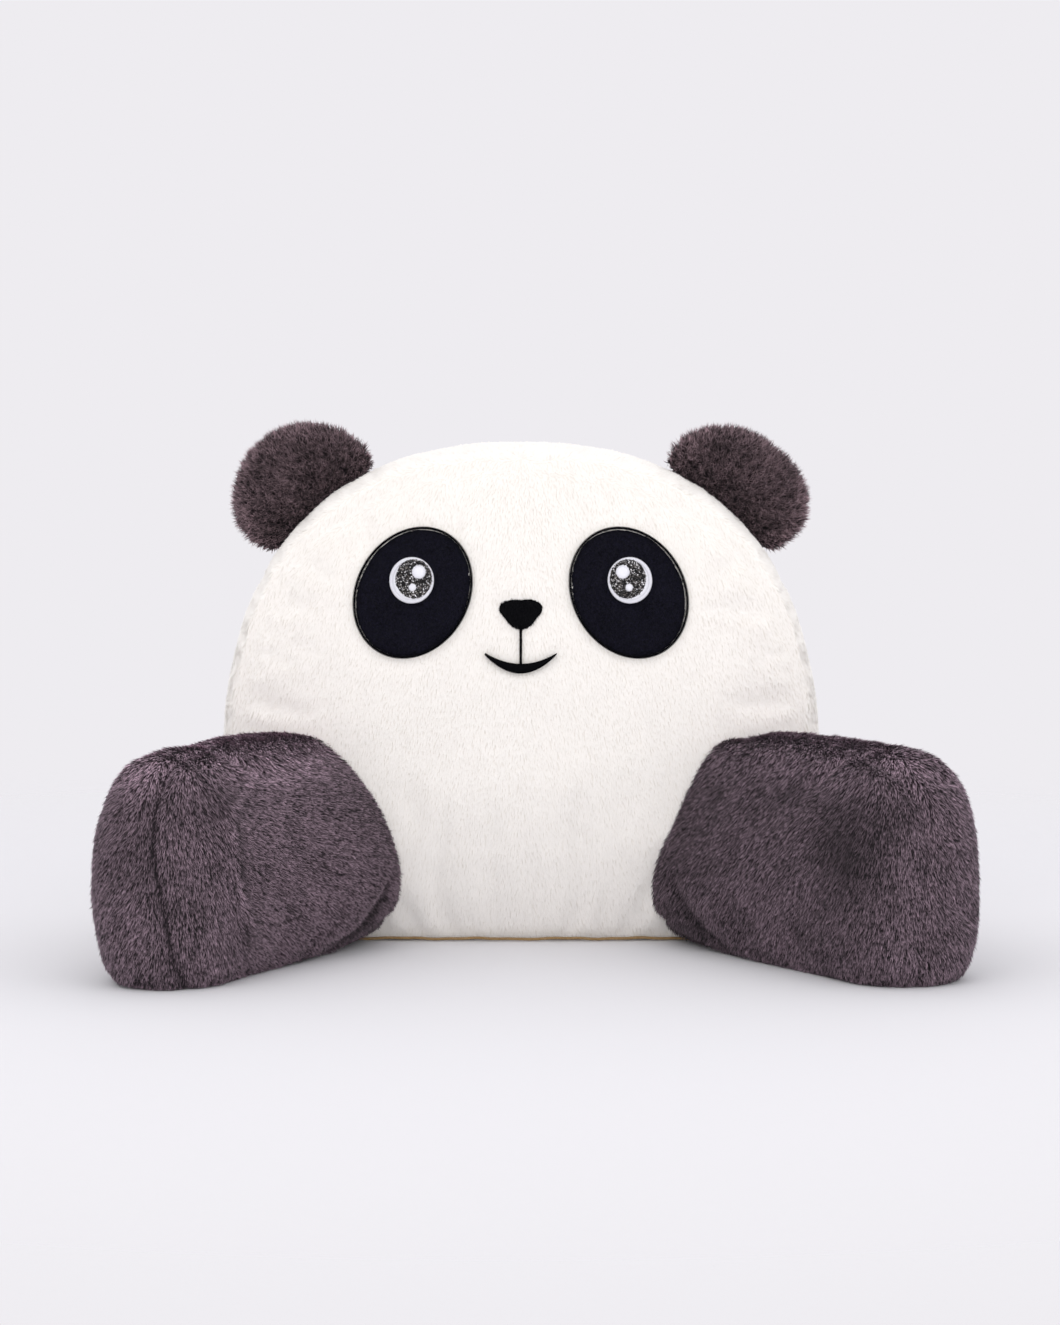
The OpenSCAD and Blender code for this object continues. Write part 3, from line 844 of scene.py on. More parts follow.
threadBase = {"threads": 900.0, "fuzz": 700.0, "bump": 0.25, "depth": 0.0002}
blackThread = clothMaterial("black thread", (5, 5, 7), (18, 18, 21), rough=0.95, shine=0.02, **threadBase)
whiteThread = clothMaterial("white thread", (222, 221, 228), (242, 242, 248), rough=0.45, shine=0.5, **threadBase)
tanThread = clothMaterial("cream edging", (128, 100, 66), (176, 148, 108), threads=600.0, fuzz=500.0, bump=0.4,
                          depth=0.0003, shine=0.1)
glitterCloth = clothMaterial("glitter backing", (12, 12, 14), (36, 34, 36), threads=700.0, fuzz=900.0, bump=0.6,
                             depth=0.0004, rough=0.6, shine=0.15)


def flakeMaterial():
    material, nodes, links, shader = newMaterial("glitter flakes")
    shade = nodes.new("ShaderNodeAttribute")
    shade.attribute_name = "shade"
    ramp = nodes.new("ShaderNodeValToRGB")
    stops = ((0.0, (10, 10, 12)), (0.5, (40, 38, 39)), (0.78, (118, 112, 108)), (0.93, (236, 234, 238)))
    for k, (at, colour) in enumerate(stops):
        stop = ramp.color_ramp.elements[k] if k < 2 else ramp.color_ramp.elements.new(at)
        stop.position, stop.color = at, linear(*colour)
    links.new(shade.outputs["Fac"], ramp.inputs["Fac"])
    links.new(ramp.outputs["Color"], shader.inputs["Base Color"])
    shader.inputs["Metallic"].default_value = 0.55
    shader.inputs["Roughness"].default_value = 0.32
    return material


flakes = flakeMaterial()
print("finishes made")


def clothe(obj, material):
    obj.data.materials.clear()
    obj.data.materials.append(material)
    return obj


# where the pile grows, how long, and which way it lies


def tangent(directions, normals):
    flat = directions - normals * np.sum(directions * normals, 1, keepdims=True)
    return flat / np.maximum(np.linalg.norm(flat, axis=1, keepdims=True), 1e-6)


def faceGaps(points):
    # 0 under the sewn-on pieces of the face, 1 elsewhere
    f = facePieces
    x, z = np.abs(points[:, 0]), panelLocal(points, -1)[1]
    patch = np.minimum(*(ovalShare(x, z - up, f["patchX"], f["patchZ"], f["patchWidth"] + 0.003,
                                   f["patchLength"] + 0.003, f["patchLean"]) for up in (0, 0.0025)))
    u = x / (f["smileWidth"] / 2)
    low = f["mouthTop"] - f["mouthDrop"] * (1 - u ** 2)
    thick = f["mouthThick"] * (1 - u ** 2)
    mouth = (np.abs(z - low - thick / 2) < thick / 2 + 0.0004) & (u < 1)
    line = (x < f["philtrumWidth"] / 2 + 0.0002) & (z > 0.218) & (z < f["noseZ"])
    free = (patch > 1) & (noseShare(x, z) > 0.93) & ~mouth & ~line
    # the back is bare under its row of closing stitches
    closed = (points[:, 1] > 0) & (x < 0.056) & (np.abs(panelLocal(points, 1)[1] - 0.030) < 0.0045)
    return np.where((free | (points[:, 1] > -0.03)) & ~closed, 1.0, 0.0)


def prepareTorso():
    mesh = torso.data
    points, normals = places(mesh), normalsOf(mesh)
    yFace, _ = panelLocal(points, -1)
    yBack, _ = panelLocal(points, 1)
    free = faceGaps(points)
    for side in ("left", "right"):
        free *= 1 - smoothStep(0.006, 0.010, rootDepth(points, side))
        free *= 1 - smoothStep(0.002, 0.004, earRootDepth(points, side))
    free *= 1 - smoothStep(0.5, 0.8, -normals[:, 2]) * (points[:, 2] < 0.02)
    panels = {"front": yFace < 0, "gusset": (yFace >= 0) & (yBack <= 0), "back": yBack > 0}
    for name, mine in panels.items():
        for side, half in (("left", points[:, 0] < 0), ("right", points[:, 0] >= 0)):
            store(mesh, f"{name}_{side}", free * mine * half * (1.0 if name == "front" else 0.85))
    down = np.tile([0.0, 0.0, -1.0], (len(points), 1))
    down[:, 0] += np.sign(points[:, 0]) * 0.15
    down[:, 1] += 1.2 * smoothStep(0.2, 0.6, normals[:, 2]) * (yFace > 0)
    store(mesh, "nap", tangent(down, normals))
    seam = torsoSeams(points)
    f = facePieces
    above = panelLocal(points, -1)[1] - f["noseZ"] - f["noseHeight"] / 2
    # longer pile just above the nose, shorter at the seams and round the sewn-on pieces
    brow = bump(above - 0.002, 0.003)
    brow *= smoothStep(f["noseWidth"] * 0.55, f["noseWidth"] * 0.35, np.abs(points[:, 0]))
    store(mesh, "tall", (1 - 0.22 * bump(seam, 0.005)) * (1 - 0.3 * bump(faceEdge(points), 0.006)) + brow)
    store(mesh, "painted_light", np.ones(len(points)))


def prepareArm(side):
    mesh = arms[side].data
    points, normals = places(mesh), normalsOf(mesh)
    local = armLocal(points, side)
    hidden = np.ones(len(points), bool)
    for swing in armForm["swings"]:
        hidden &= torsoDepth(armWorld(local, side, swing)) > 0.012
    free = np.where(hidden, 0.0, 1.0)
    free *= 1 - smoothStep(0.5, 0.8, -normals[:, 2]) * (points[:, 2] < 0.012)
    seam = noseSeam(local, side)
    shift = np.interp(local[:, 2], armForm["seamHeights"], armForm["seamShift"][side])
    inner = local[:, 0] < shift
    if side == "left":
        free *= smoothStep(0.0005, 0.0013, seam)
    store(mesh, "inner", free * inner)
    store(mesh, "outer", free * ~inner * (local[:, 1] >= -0.13))
    store(mesh, "nose", free * ~inner * (local[:, 1] < -0.13))
    run, height = -local[:, 1], local[:, 2]
    on = smoothStep(0.13, 0.165, height)  # the top of the arm
    if side == "left":
        past = smoothStep(0.205, 0.180, run)  # from the nose to the torso side of the ridge
    else:
        past = 0.25 * smoothStep(0.24, 0.15, run)
    lie = np.zeros_like(local)
    lie[:, 2] = np.where(inner, -1 + 0.35 * past * (1 - on), -1)
    lie[:, 1] = np.where(inner, 0.1 + 0.8 * past, 0.2) * (1 - on) - 0.5 * on
    lie[:, 0] = np.where(inner, 0.0, 0.3) * (1 - on)
    store(mesh, "nap", tangent(turnArm(lie, side), normals))
    store(mesh, "tall", (1 - 0.35 * bump(seam, 0.004)) * (1 - 0.15 * smoothStep(0.02, 0.0, points[:, 2])))
    fold = toPath(local, armForm["fold"])
    # painted_light on the arms: painted shade in the seam groove, in the fold under the arm and low on the inner panel
    # by the torso
    painted_light = 1 - 0.45 * bump(seam, 0.003) - 0.5 * bump(fold, 0.006)
    painted_light -= 0.25 * smoothStep(-0.055, -0.02, local[:, 1]) * smoothStep(0.05, 0.02, height) * inner
    if side == "left":
        # left arm: painted shade where the pile leans away from the light, a painted highlight along the ridge with
        # painted shade beside it, a painted highlight near the top, painted shade towards the nose and beside the seam
        # on the outer panel
        painted_light -= 0.45 * bump(run - 0.205, 0.028) * bump(height - 0.150, 0.022) * inner
        ridge = toPath(local, armForm["ridge"])
        painted_light += 0.45 * bump(ridge, 0.003) - 0.35 * bump(ridge - 0.006, 0.004) * (past > 0.4)
        painted_light += 0.22 * bump(run - 0.125, 0.035) * bump(height - 0.130, 0.022) * inner
        painted_light -= 0.14 * smoothStep(0.08, 0.02, run) * inner
        painted_light -= 0.18 * bump(height - 0.11, 0.03) * bump(seam, 0.02) * ~inner
    else:
        # right arm: painted shade over the inner panel, in patches where the pile leans away from the light and
        # towards the nose, and a painted highlight in a narrow band
        painted_light -= 0.16 * inner
        painted_light -= 0.55 * bump(run - 0.205, 0.030) * bump(height - 0.098, 0.042) * inner
        painted_light -= 0.22 * bump(run - 0.14, 0.035) * bump(height - 0.142, 0.016) * inner
        painted_light += 0.16 * bump(run - 0.245, 0.010) * inner
        painted_light -= 0.12 * smoothStep(0.09, 0.03, run) * inner
    # the top of each arm lighter: painted light falling on it from above
    painted_light += on * ((1.3 if side == "left" else 0.8) + np.where(inner, 0.0, 0.1))
    store(mesh, "painted_light", np.clip(painted_light, 0.2, 2.6))


def prepareEar(side):
    mesh = ears[side].data
    points, normals = places(mesh), normalsOf(mesh)
    local = earLocal(points, side)
    store(mesh, "density", np.where(torsoDepth(points) > 0.003, 0.0, 1.0))
    out = np.tile([0.0, 0.0, 1.0], (len(points), 1))
    out[:, 0] = local[:, 0] * 9
    store(mesh, "nap", tangent(turnEar(out, side), normals))
    store(mesh, "tall", 0.55 + 0.45 * smoothStep(-0.004, 0.012, local[:, 2]))
    # the pile lighter towards the ear's rim: painted sheen
    rim = np.hypot(local[:, 0], local[:, 2] - earForm["rise"])
    store(mesh, "painted_light", 0.74 + 0.62 * smoothStep(0.038, 0.056, rim))


prepareTorso()
for side in ("left", "right"):
    prepareArm(side)
    prepareEar(side)

torsoPile = {"Density": 480000.0, "Length": 0.0052, "Width": 0.0014, "Rise": 0.36, "Lean": 0.9, "Clump": 0.05,
             "Clump_size": 0.008, "Stray": 0.12, "Droop": 0.12, "Spin": 0.2}
armPile = {"Density": 1080000.0, "Length": 0.0064, "Width": 0.00072, "Rise": 0.54, "Lean": 0.9, "Clump": 0.24,
           "Clump_size": 0.0026, "Stray": 0.18, "Droop": 0.2, "Spin": 0.7}
earPileCut = {"Density": 1500000.0, "Length": 0.0098, "Width": 0.0008, "Rise": 0.8, "Lean": 0.55, "Clump": 0.68,
              "Clump_size": 0.0045, "Stray": 0.5, "Droop": 0.2, "Spin": 1.2}

fur = []
for k, panel in enumerate(("front", "gusset", "back")):
    for side in ("left", "right"):
        made = grown(pile, torso.data, f"pile_{panel}_{side}", whitePile, Where=f"{panel}_{side}",
                     Seed=11 + 2 * k + (side == "right"), **torsoPile)
        fur.append((made, "torso", "white_fur"))
for side in ("left", "right"):
    for k, where in enumerate(("inner", "outer", "nose")):
        made = grown(pile, arms[side].data, f"pile_arm_{where}_{side}", charcoalPile, Where=where,
                     Seed=31 + k + 5 * (side == "right"), **armPile)
        fur.append((made, f"arm_{side}", "charcoal_fur"))
    made = grown(pile, ears[side].data, f"pile_ear_{side}", earPile, Where="density", Seed=51 + (side == "right"),
                 **earPileCut)
    fur.append((made, f"ear_{side}", "charcoal_fur"))
for made, body, slot in fur:
    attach(made, body)
    made.visible_shadow = slot != "white_fur"  # light passes through white pile, so it doesn't shade itself
    print(made.name, len(made.data.polygons), "faces")

clothe(torso, whiteCloth)
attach(torso, "torso")
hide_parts("front_panel", "gusset", "back_panel", "base_panel", "torso_stuffing")
for side in ("left", "right"):
    clothe(arms[side], charcoalCloth)
    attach(arms[side], f"arm_{side}")
    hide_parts(*[f"arm_{part}_{side}" for part in armParts])
    clothe(ears[side], charcoalCloth)
    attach(ears[side], f"ear_{side}")
    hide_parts(*[f"ear_{part}_{side}" for part in earParts])
print("pile grown")

# the face: sewn-on patches, eyes, nose and mouth


def ovalOutline(cx, cz, width, height, turn, n):
    a = -np.linspace(0, 2 * math.pi, n, endpoint=False)
    x, z = width / 2 * np.cos(a), height / 2 * np.sin(a)
    t = math.radians(turn)
    return np.stack([cx + x * math.cos(t) - z * math.sin(t), cz + x * math.sin(t) + z * math.cos(t)], -1)


def showOnFace(obj, node):
    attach(obj, "torso")
    if node:
        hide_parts(node)
    return obj


def sewnOn(name, outline, middle, rings, low, high, crown, edge, way, material, node):
    # a closed pad on the face: outline shrunk to its middle in rings, edge rounded down; way -1 is the left
    n = len(outline)
    shares = np.sin(np.linspace(0, 1, rings + 1)[1:] * math.pi / 2)
    middle = np.asarray(middle, float)
    top = [middle[None]] + [middle + (outline - middle) * s for s in shares]
    lifts = [high + crown]
    lifts += [low + (high - low) * max(0, 1 - s ** edge) ** 0.5 + crown * (1 - s * s) for s in shares]
    points = [facePoint(way * ring[:, 0], ring[:, 1], lift) for ring, lift in zip(top, lifts)]
    under = [facePoint(way * ring[:, 0], ring[:, 1], low) for ring in top[:-1]]
    count = 1 + rings * n
    faces = []

    def ring(k, j):
        return 1 + (k - 1) * n + j % n

    def lowRing(k, j):
        return ring(k, j) if k == rings else count + ring(k, j)
    for j in range(n):
        faces.append((0, ring(1, j), ring(1, j + 1)))
        faces.append((count, lowRing(1, j + 1), lowRing(1, j)))
        for k in range(1, rings):
            faces.append((ring(k, j), ring(k + 1, j), ring(k + 1, j + 1), ring(k, j + 1)))
            faces.append((lowRing(k, j + 1), lowRing(k + 1, j + 1), lowRing(k + 1, j), lowRing(k, j)))
    if way > 0:
        faces = [f[::-1] for f in faces]
    pad = clothe(meshObject(name, np.concatenate(points + under), faces), material)
    return showOnFace(pad, node)


def stitchTree():
    # one small bent thread, laid at every point of a mesh of single points
    t = Tree("stitches", [("Material", "Material", None), ("Thickness", "Float", 0.0006), ("Arch", "Float", 0.3)])
    place = t.node("GeometryNodeInputPosition").outputs[0]
    bar = t.node("GeometryNodeMeshCylinder", {"fill_type": "NGON"}, Vertices=6, Side_Segments=4, Radius=0.5,
                 Depth=1.0).outputs["Mesh"]
    axes = t.node("ShaderNodeSeparateXYZ", Vector=place)
    curve = t.math("SUBTRACT", 1.0, t.math("POWER", t.math("MULTIPLY", axes.outputs[2], 2.0), 2.0))
    thin = t.math("ADD", 0.35, t.math("MULTIPLY", curve, 0.65))
    shape = t.node("ShaderNodeCombineXYZ", X=t.math("MULTIPLY", axes.outputs[0], thin),
                   Y=t.math("ADD", t.math("MULTIPLY", axes.outputs[1], thin), t.math("MULTIPLY", curve, t["Arch"])),
                   Z=axes.outputs[2]).outputs[0]
    bar = t.rounded(t.moved(bar, Position=shape))
    turn = t.aimed(t.attribute("along", "FLOAT_VECTOR"), t.attribute("out", "FLOAT_VECTOR"))
    size = t.node("ShaderNodeCombineXYZ", X=t["Thickness"], Y=t["Thickness"], Z=t.attribute("long")).outputs[0]
    points = t.node("GeometryNodeMeshToPoints", Mesh=t["Geometry"]).outputs[0]
    return t.close(t.laid(points, bar, turn, size))


stitching = stitchTree()


def laidStitches(name, starts, ends, outs, material, thickness, arch=0.3):
    # threads from starts to ends, bowed towards outs
    along = ends - starts
    mesh = bpy.data.meshes.new(name + "_rows")
    mesh.from_pydata([tuple(p) for p in (starts + ends) / 2], [], [])
    store(mesh, "along", along)
    store(mesh, "out", outs)
    store(mesh, "long", np.linalg.norm(along, axis=1))
    return grown(stitching, mesh, name, material, Thickness=thickness, Arch=arch)


def faceOut(x, z):
    # outward direction of the face at a place
    step = 0.001
    a = facePoint(x + step, z, 0) - facePoint(x - step, z, 0)
    b = facePoint(x, z + step, 0) - facePoint(x, z - step, 0)
    out = np.cross(a, b)
    return out / np.linalg.norm(out, axis=-1, keepdims=True)


rng = np.random.default_rng(7)


def edgeStitches(name, outline, middle, inside, outside, lift, thickness, way, material, node, skew=0.0,
                 ragged=0.0):
    # whipped stitches across an outline, evenly spaced
    middle = np.asarray(middle, float)
    closed = np.vstack([outline, outline[:1]])
    run = np.r_[0, np.cumsum(np.linalg.norm(np.diff(closed, axis=0), axis=1))]
    count = int(run[-1] / (thickness * 0.92))
    at = np.linspace(0, run[-1], count, endpoint=False)
    ring = np.stack([np.interp(at, run, closed[:, k]) for k in (0, 1)], -1)
    away = ring - middle
    away /= np.linalg.norm(away, axis=1, keepdims=True)
    side = np.stack([-away[:, 1], away[:, 0]], -1) * skew
    loose = 1 + rng.uniform(-ragged, ragged, (count, 1))
    start = ring - away * inside * loose - side
    end = ring + away * outside * loose + side
    outs = faceOut(way * ring[:, 0], ring[:, 1])
    laid = laidStitches(name, facePoint(way * start[:, 0], start[:, 1], lift),
                        facePoint(way * end[:, 0], end[:, 1], lift), outs, material, thickness)
    return showOnFace(laid, node)


sunk = -0.0040  # how far the sewn-on pieces reach down to the cloth under the pile
patchCut = {"Density": 1700000.0, "Length": 0.0021, "Width": 0.0007, "Rise": 0.6, "Lean": 0.9, "Clump": 0.2,
            "Clump_size": 0.006, "Stray": 0.35, "Droop": 0.2, "Spin": 0.8}


def napDown(mesh):
    normals = normalsOf(mesh)
    store(mesh, "nap", tangent(np.tile([0.1, 0.0, -1.0], (len(normals), 1)), normals))
    store(mesh, "tall", np.ones(len(normals)))
    store(mesh, "painted_light", np.ones(len(normals)))


def glitterTree():
    # small six-sided flakes, each tipped its own way
    t = Tree("glitter", [("Material", "Material", None), ("Density", "Float", 1000000.0), ("Size", "Float", 0.001),
                         ("Tip", "Float", 0.5), ("Lift", "Float", 0.0003), ("Seed", "Int", 1)])
    density = t.math("MULTIPLY", t.attribute("density"), t["Density"])
    points, up = t.scattered(density)
    tipped = t.scaled(t.random((-1, -1, -1), (1, 1, 1), t["Seed"], "FLOAT_VECTOR"), t["Tip"])
    turn = t.aimed(t.vector("ADD", up, tipped))
    points = t.keep(points, "shade", t.random(0.0, 1.0, t.later(17.0)))
    points = t.moved(points, Offset=t.scaled(up, t["Lift"]))
    size = t.math("MULTIPLY", t.random(0.5, 1.1, t.later(5.0)), t["Size"])
    flake = t.node("GeometryNodeMeshCircle", {"fill_type": "NGON"}, Vertices=6, Radius=0.5).outputs["Mesh"]
    return t.close(t.laid(points, flake, turn, size))


glitter = glitterTree()
glitterCut = {"Density": 1600000.0, "Size": 0.0014, "Tip": 0.7, "Lift": 0.0002}
glints = ((-0.0039, 0.0053, 0.0100), (0.0010, -0.0069, 0.0052))

f = facePieces
for side, way in (("left", -1), ("right", 1)):
    middle = (f["patchX"], f["patchZ"])
    outline = ovalOutline(*middle, f["patchWidth"], f["patchLength"], f["patchLean"], 72)
    patch = sewnOn(f"eye_patch_cloth_{side}", outline, middle, 9, sunk, -0.0006, 0.0006, 10.0, way, navyCloth,
                   f"eye_patch_{side}")
    napDown(patch.data)
    points = places(patch.data)
    x, z = points[:, 0] * way, panelLocal(points, -1)[1]
    share = ovalShare(x, z, *middle, f["patchWidth"], f["patchLength"], f["patchLean"])
    eye = ovalShare(x, z, f["eyeX"], f["eyeZ"], f["eyeWidth"], f["eyeHeight"], 0)
    front = normalsOf(patch.data)[:, 1] < -0.3
    store(patch.data, "density", ((share < 0.995) & (eye > 0.85) & front).astype(float))
    nap = grown(pile, patch.data, f"eye_patch_pile_{side}", navyPile, Where="density", Seed=71 + way, **patchCut)
    showOnFace(nap, None)
    edgeStitches(f"patch_border_thread_{side}", outline, middle, 0.0006, f["borderWidth"] - 0.0004, 0.0009, 0.0008,
                 way, blackThread, f"patch_border_{side}", 0.0005)
    middle = (f["eyeX"], f["eyeZ"])
    outline = ovalOutline(*middle, f["eyeWidth"], f["eyeHeight"], 0, 56)
    sewnOn(f"eye_white_satin_{side}", outline, middle, 6, 0.0, 0.0030, 0.0004, 8.0, way, whiteThread,
           f"eye_white_{side}")
    edgeStitches(f"eye_white_thread_{side}", outline, middle, 0.0030, 0.0001, 0.0031, 0.00045, way, whiteThread,
                 None)
    middle = (f["irisX"], f["irisZ"])
    outline = ovalOutline(*middle, f["irisWidth"], f["irisHeight"], 0, 56)
    iris = sewnOn(f"iris_glitter_{side}", outline, middle, 8, 0.0028, 0.0040, 0.0004, 8.0, way, glitterCloth,
                  f"iris_{side}")
    store(iris.data, "density", (normalsOf(iris.data)[:, 1] < -0.6).astype(float))
    sparkle = grown(glitter, iris.data, f"iris_flakes_{side}", flakes, Seed=91 + way, **glitterCut)
    showOnFace(sparkle, None)
    for k, (dx, dz, wide) in enumerate(glints):
        spot = (f["irisX"] + dx, f["irisZ"] + dz)
        outline = ovalOutline(*spot, wide, wide, 0, 32)
        sewnOn(f"glint_{side}_{k}", outline, spot, 4, 0.0040, 0.0052, 0.0003, 6.0, way, whiteThread,
               f"eye_glints_{side}")
        edgeStitches(f"glint_rays_{side}_{k}", outline, spot, 0.0014, 0.0006, 0.0050, 0.0005, way, whiteThread,
                     None, 0.0002, 0.6)
print("patches and eyes sewn on")

# the nose is a soft triangle: an oval with its radius drawn out three ways
a = -np.linspace(0, 2 * math.pi, 64, endpoint=False)
r = 1 + noseCut["bulge"] * np.cos(3 * (a + math.pi / 2))
noseOutline = np.stack([f["noseWidth"] / 2 * noseCut["wider"] * r * np.cos(a),
                        f["noseZ"] + f["noseHeight"] / 2 * r * np.sin(a) + noseCut["up"]], -1)
nose = sewnOn("nose_pad", noseOutline, (0, f["noseZ"]), 8, sunk, 0.0004, 0.0018, 5.0, 1, blackThread,
              "nose")
napDown(nose.data)
store(nose.data, "density", (normalsOf(nose.data)[:, 1] < -0.2).astype(float))
noseNap = grown(pile, nose.data, "nose_pile", nosePile, Where="density", Seed=81, **{**patchCut, "Length": 0.0018})
showOnFace(noseNap, None)


def smileRow(u):
    # upper and lower edge of the smile at u, from -1 at one tip to 1 at the other
    f = facePieces
    low = f["mouthTop"] - f["mouthDrop"] * (1 - u ** 2)
    thick = f["mouthThick"] * np.maximum(1 - u ** 2, 0) + 0.0014
    return low + thick - 0.0007, low - 0.0007


def crescentPad(n=48, around=10):
    # the padded base of the smile: an oval section carried from tip to tip
    points, faces = [], []
    for u in np.linspace(-1, 1, n):
        high, low = smileRow(u)
        a = np.linspace(0, 2 * math.pi, around, endpoint=False)
        half = (high - low) / 2 * (1.0 if abs(u) < 0.999 else 0.3)
        z = (high + low) / 2 + half * np.cos(a)
        lift = -0.0012 + 0.0016 * np.sin(a) * min(1.0, half / 0.001)
        points += list(facePoint(np.full(around, u * facePieces["smileWidth"] / 2), z, lift))
    for i in range(n - 1):
        for k in range(around):
            a, b = i * around + k, i * around + (k + 1) % around
            faces.append((b, b + around, a + around, a))
    faces += [tuple(range(around))[::-1], tuple(range((n - 1) * around, n * around))]
    return meshObject("mouth_pad", points, faces)


threads = {"pitch": 0.00045, "thick": 0.00062, "lift": 0.0006}
pad = clothe(crescentPad(), blackThread)
showOnFace(pad, "mouth")
u = np.linspace(-0.99, 0.99, int(facePieces["smileWidth"] * 1.1 / threads["pitch"]))
high, low = smileRow(u)
x = u * facePieces["smileWidth"] / 2
skew = 0.0004
satin = laidStitches("mouth_thread", facePoint(x + skew, high + 0.0002, threads["lift"]),
                     facePoint(x - skew, low - 0.0002, threads["lift"]), faceOut(x, (high + low) / 2), blackThread,
                     threads["thick"], 1.6)
showOnFace(satin, None)
top = facePieces["noseZ"] - facePieces["noseHeight"] / 2 + 0.0006
end = smileRow(0)[0] - 0.0006
z = np.linspace(top, end, int((top - end) / threads["pitch"]))
half = facePieces["philtrumWidth"] / 2 + rng.uniform(-0.0001, 0.0001, len(z))
line = laidStitches("philtrum_thread", facePoint(-half, z + 0.0002, threads["lift"]),
                    facePoint(half, z - 0.0002, threads["lift"]), faceOut(0 * z, z), blackThread,
                    threads["thick"], 0.8)
showOnFace(line, "philtrum")

# hand stitches along the closed hole in the back
closing = {"count": 11, "pitch": 0.010, "height": 0.030, "length": 0.0070, "thick": 0.0014, "slant": 25.0}
x = (np.arange(closing["count"]) - closing["count"] // 2) * closing["pitch"]
a = math.radians(closing["slant"])
dx, dz = closing["length"] / 2 * math.cos(a), closing["length"] / 2 * math.sin(a)
z = np.full(closing["count"], closing["height"])
closed = laidStitches("closing_thread", facePoint(x - dx, z + dz, 0.0, 1), facePoint(x + dx, z - dz, 0.0, 1),
                      np.tile([0.0, 1.0, 0.0], (len(x), 1)), whiteThread, closing["thick"], 0.6)
showOnFace(closed, "closing_stitches")
print("nose, smile and stitches sewn on")


def edgingTree():
    # a round edging that follows a closed path
    t = Tree("edging", [("Material", "Material", None), ("Radius", "Float", 0.001)])
    path = t.node("GeometryNodeMeshToCurve", Mesh=t["Geometry"]).outputs[0]
    ring = t.node("GeometryNodeCurvePrimitiveCircle", Resolution=8, Radius=t["Radius"]).outputs[0]
    tube = t.node("GeometryNodeCurveToMesh", Curve=path, Profile_Curve=ring).outputs[0]
    tube = t.node("GeometryNodeRealizeInstances", Geometry=tube).outputs[0]
    return t.close(t.rounded(tube))


def basePath(height, inset):
    # round the foot of the cushion at a height, from the torso cover itself
    points = places(torso.data)
    band = points[np.abs(points[:, 2] - height) < 0.004]
    angle = np.arctan2(band[:, 1] / 0.09, band[:, 0] / 0.2)
    path = []
    for a in np.linspace(-math.pi, math.pi, 240, endpoint=False):
        off = np.abs((angle - a + math.pi) % (2 * math.pi) - math.pi)
        near = band[off < 0.05]
        if len(near):
            path.append(near[np.argmax(np.hypot(near[:, 0] / 2, near[:, 1])), :2])
    path = np.array(path)
    for _ in range(6):
        path = (np.roll(path, 1, 0) + path * 2 + np.roll(path, -1, 0)) / 4
    path *= 1 + inset / np.linalg.norm(path, axis=1, keepdims=True)
    turn = np.linspace(0, 2 * math.pi, len(path), endpoint=False)
    wave = np.sin(turn * 23) * 0.6 + np.sin(turn * 57 + 1.3) * 0.4
    return np.column_stack([path, height + 0.0006 * wave])


loop = basePath(0.0022, 0.0036)
mesh = bpy.data.meshes.new("base_path")
mesh.from_pydata([tuple(p) for p in loop], [(i, (i + 1) % len(loop)) for i in range(len(loop))], [])
edging = grown(edgingTree(), mesh, "base_edging", tanThread, Radius=0.0011)
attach(edging, "torso")

# floor, light and camera

stageSet = {"floorRadius": 2.4, "fadeFrom": 0.45, "fadeTo": 1.35, "ambient": 1.0}


def buildStage():
    n, rings = 96, 24
    points, faces = [(0, 0, 0)], []
    for k in range(1, rings + 1):
        radius = stageSet["floorRadius"] * (k / rings) ** 1.5
        turns = [2 * math.pi * j / n for j in range(n)]
        points += [(radius * math.cos(a), radius * math.sin(a), 0) for a in turns]
    for j in range(n):
        faces.append((0, 1 + j, 1 + (j + 1) % n))
        for k in range(rings - 1):
            a, b = 1 + k * n + j, 1 + k * n + (j + 1) % n
            faces.append((a, a + n, b + n, b))
    floor = meshObject("floor", points, faces)
    material, nodes, links, shader = newMaterial("pale floor")
    shader.inputs["Base Color"].default_value = linear(229, 228, 231)
    shader.inputs["Roughness"].default_value = 0.85
    shader.inputs["Specular IOR Level"].default_value = 0.1
    where = nodes.new("ShaderNodeTexCoord").outputs["Object"]
    far = nodes.new("ShaderNodeVectorMath")
    far.operation = "LENGTH"
    links.new(where, far.inputs[0])
    fade = nodes.new("ShaderNodeMapRange")
    fade.interpolation_type = "SMOOTHSTEP"
    for key, value in {"From Min": stageSet["fadeFrom"], "From Max": stageSet["fadeTo"], "To Min": 1.0,
                       "To Max": 0.0}.items():
        fade.inputs[key].default_value = value
    links.new(far.outputs["Value"], fade.inputs["Value"])
    links.new(fade.outputs["Result"], shader.inputs["Alpha"])
    clothe(floor, material)
    floor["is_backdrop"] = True


buildStage()

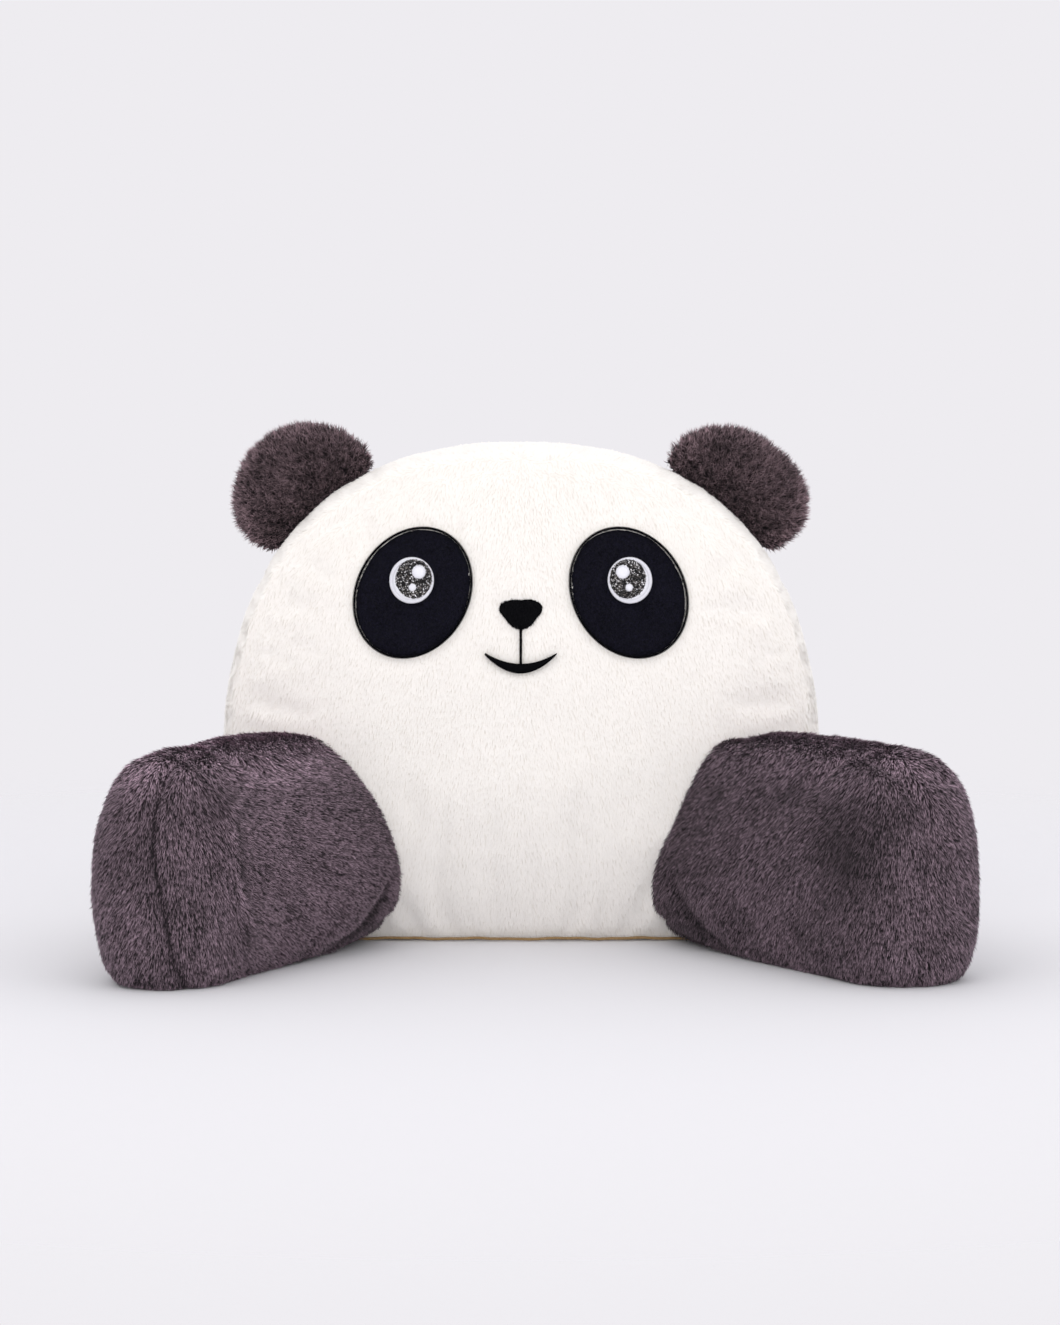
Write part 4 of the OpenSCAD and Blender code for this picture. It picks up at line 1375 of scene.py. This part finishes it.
world = bpy.data.worlds.new("studio")
world.use_nodes = True
scene.world = world
nodes, links = world.node_tree.nodes, world.node_tree.links
nodes.clear()
out = nodes.new("ShaderNodeOutputWorld")
seen, lit = nodes.new("ShaderNodeBackground"), nodes.new("ShaderNodeBackground")
seen.inputs["Color"].default_value = linear(238, 236, 240)
seen.inputs["Strength"].default_value = 1.0
lit.inputs["Color"].default_value = (0.98, 0.975, 1.0, 1)
lit.inputs["Strength"].default_value = stageSet["ambient"]
path, either = nodes.new("ShaderNodeLightPath"), nodes.new("ShaderNodeMixShader")
links.new(path.outputs["Is Camera Ray"], either.inputs[0])
links.new(lit.outputs[0], either.inputs[1])
links.new(seen.outputs[0], either.inputs[2])
links.new(either.outputs[0], out.inputs["Surface"])

lamps = {
    # name: place, aim, size, watts, colour
    "key": ((-1.1, -1.7, 1.9), (0, 0, 0.2), 1.6, 7.2, (1.0, 0.985, 0.96)),
    "low": ((0.2, -2.6, 0.45), (0, 0, 0.12), 1.4, 6.5, (1.0, 0.99, 0.985)),
    "fill": ((1.6, -1.5, 1.0), (0, 0, 0.2), 1.8, 4.5, (0.97, 0.98, 1.0)),
    "top": ((0.1, 0.3, 2.2), (0, 0, 0.2), 1.6, 3.0, (1.0, 1.0, 1.0)),
}
for name, (place, aim, size, watts, colour) in lamps.items():
    light = bpy.data.lights.new(name, "AREA")
    light.shape, light.size, light.energy, light.color = "SQUARE", size, watts, colour
    lamp = bpy.data.objects.new(name, light)
    lamp.location = place
    lamp.rotation_euler = (Vector(aim) - Vector(place)).to_track_quat("-Z", "Y").to_euler()
    scene.collection.objects.link(lamp)

cameraSet = {"place": (0.0072, -2.530, 0.410), "down": 4.435, "lens": 85.0}
camera = bpy.data.objects.new("camera", bpy.data.cameras.new("camera"))
camera.data.lens, camera.data.sensor_width = cameraSet["lens"], 36.0
camera.location = cameraSet["place"]
camera.rotation_euler = (math.radians(90 - cameraSet["down"]), 0, 0)
scene.collection.objects.link(camera)
scene.camera = camera
scene.view_settings.view_transform = "Standard"
print("stage set")

low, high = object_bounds()
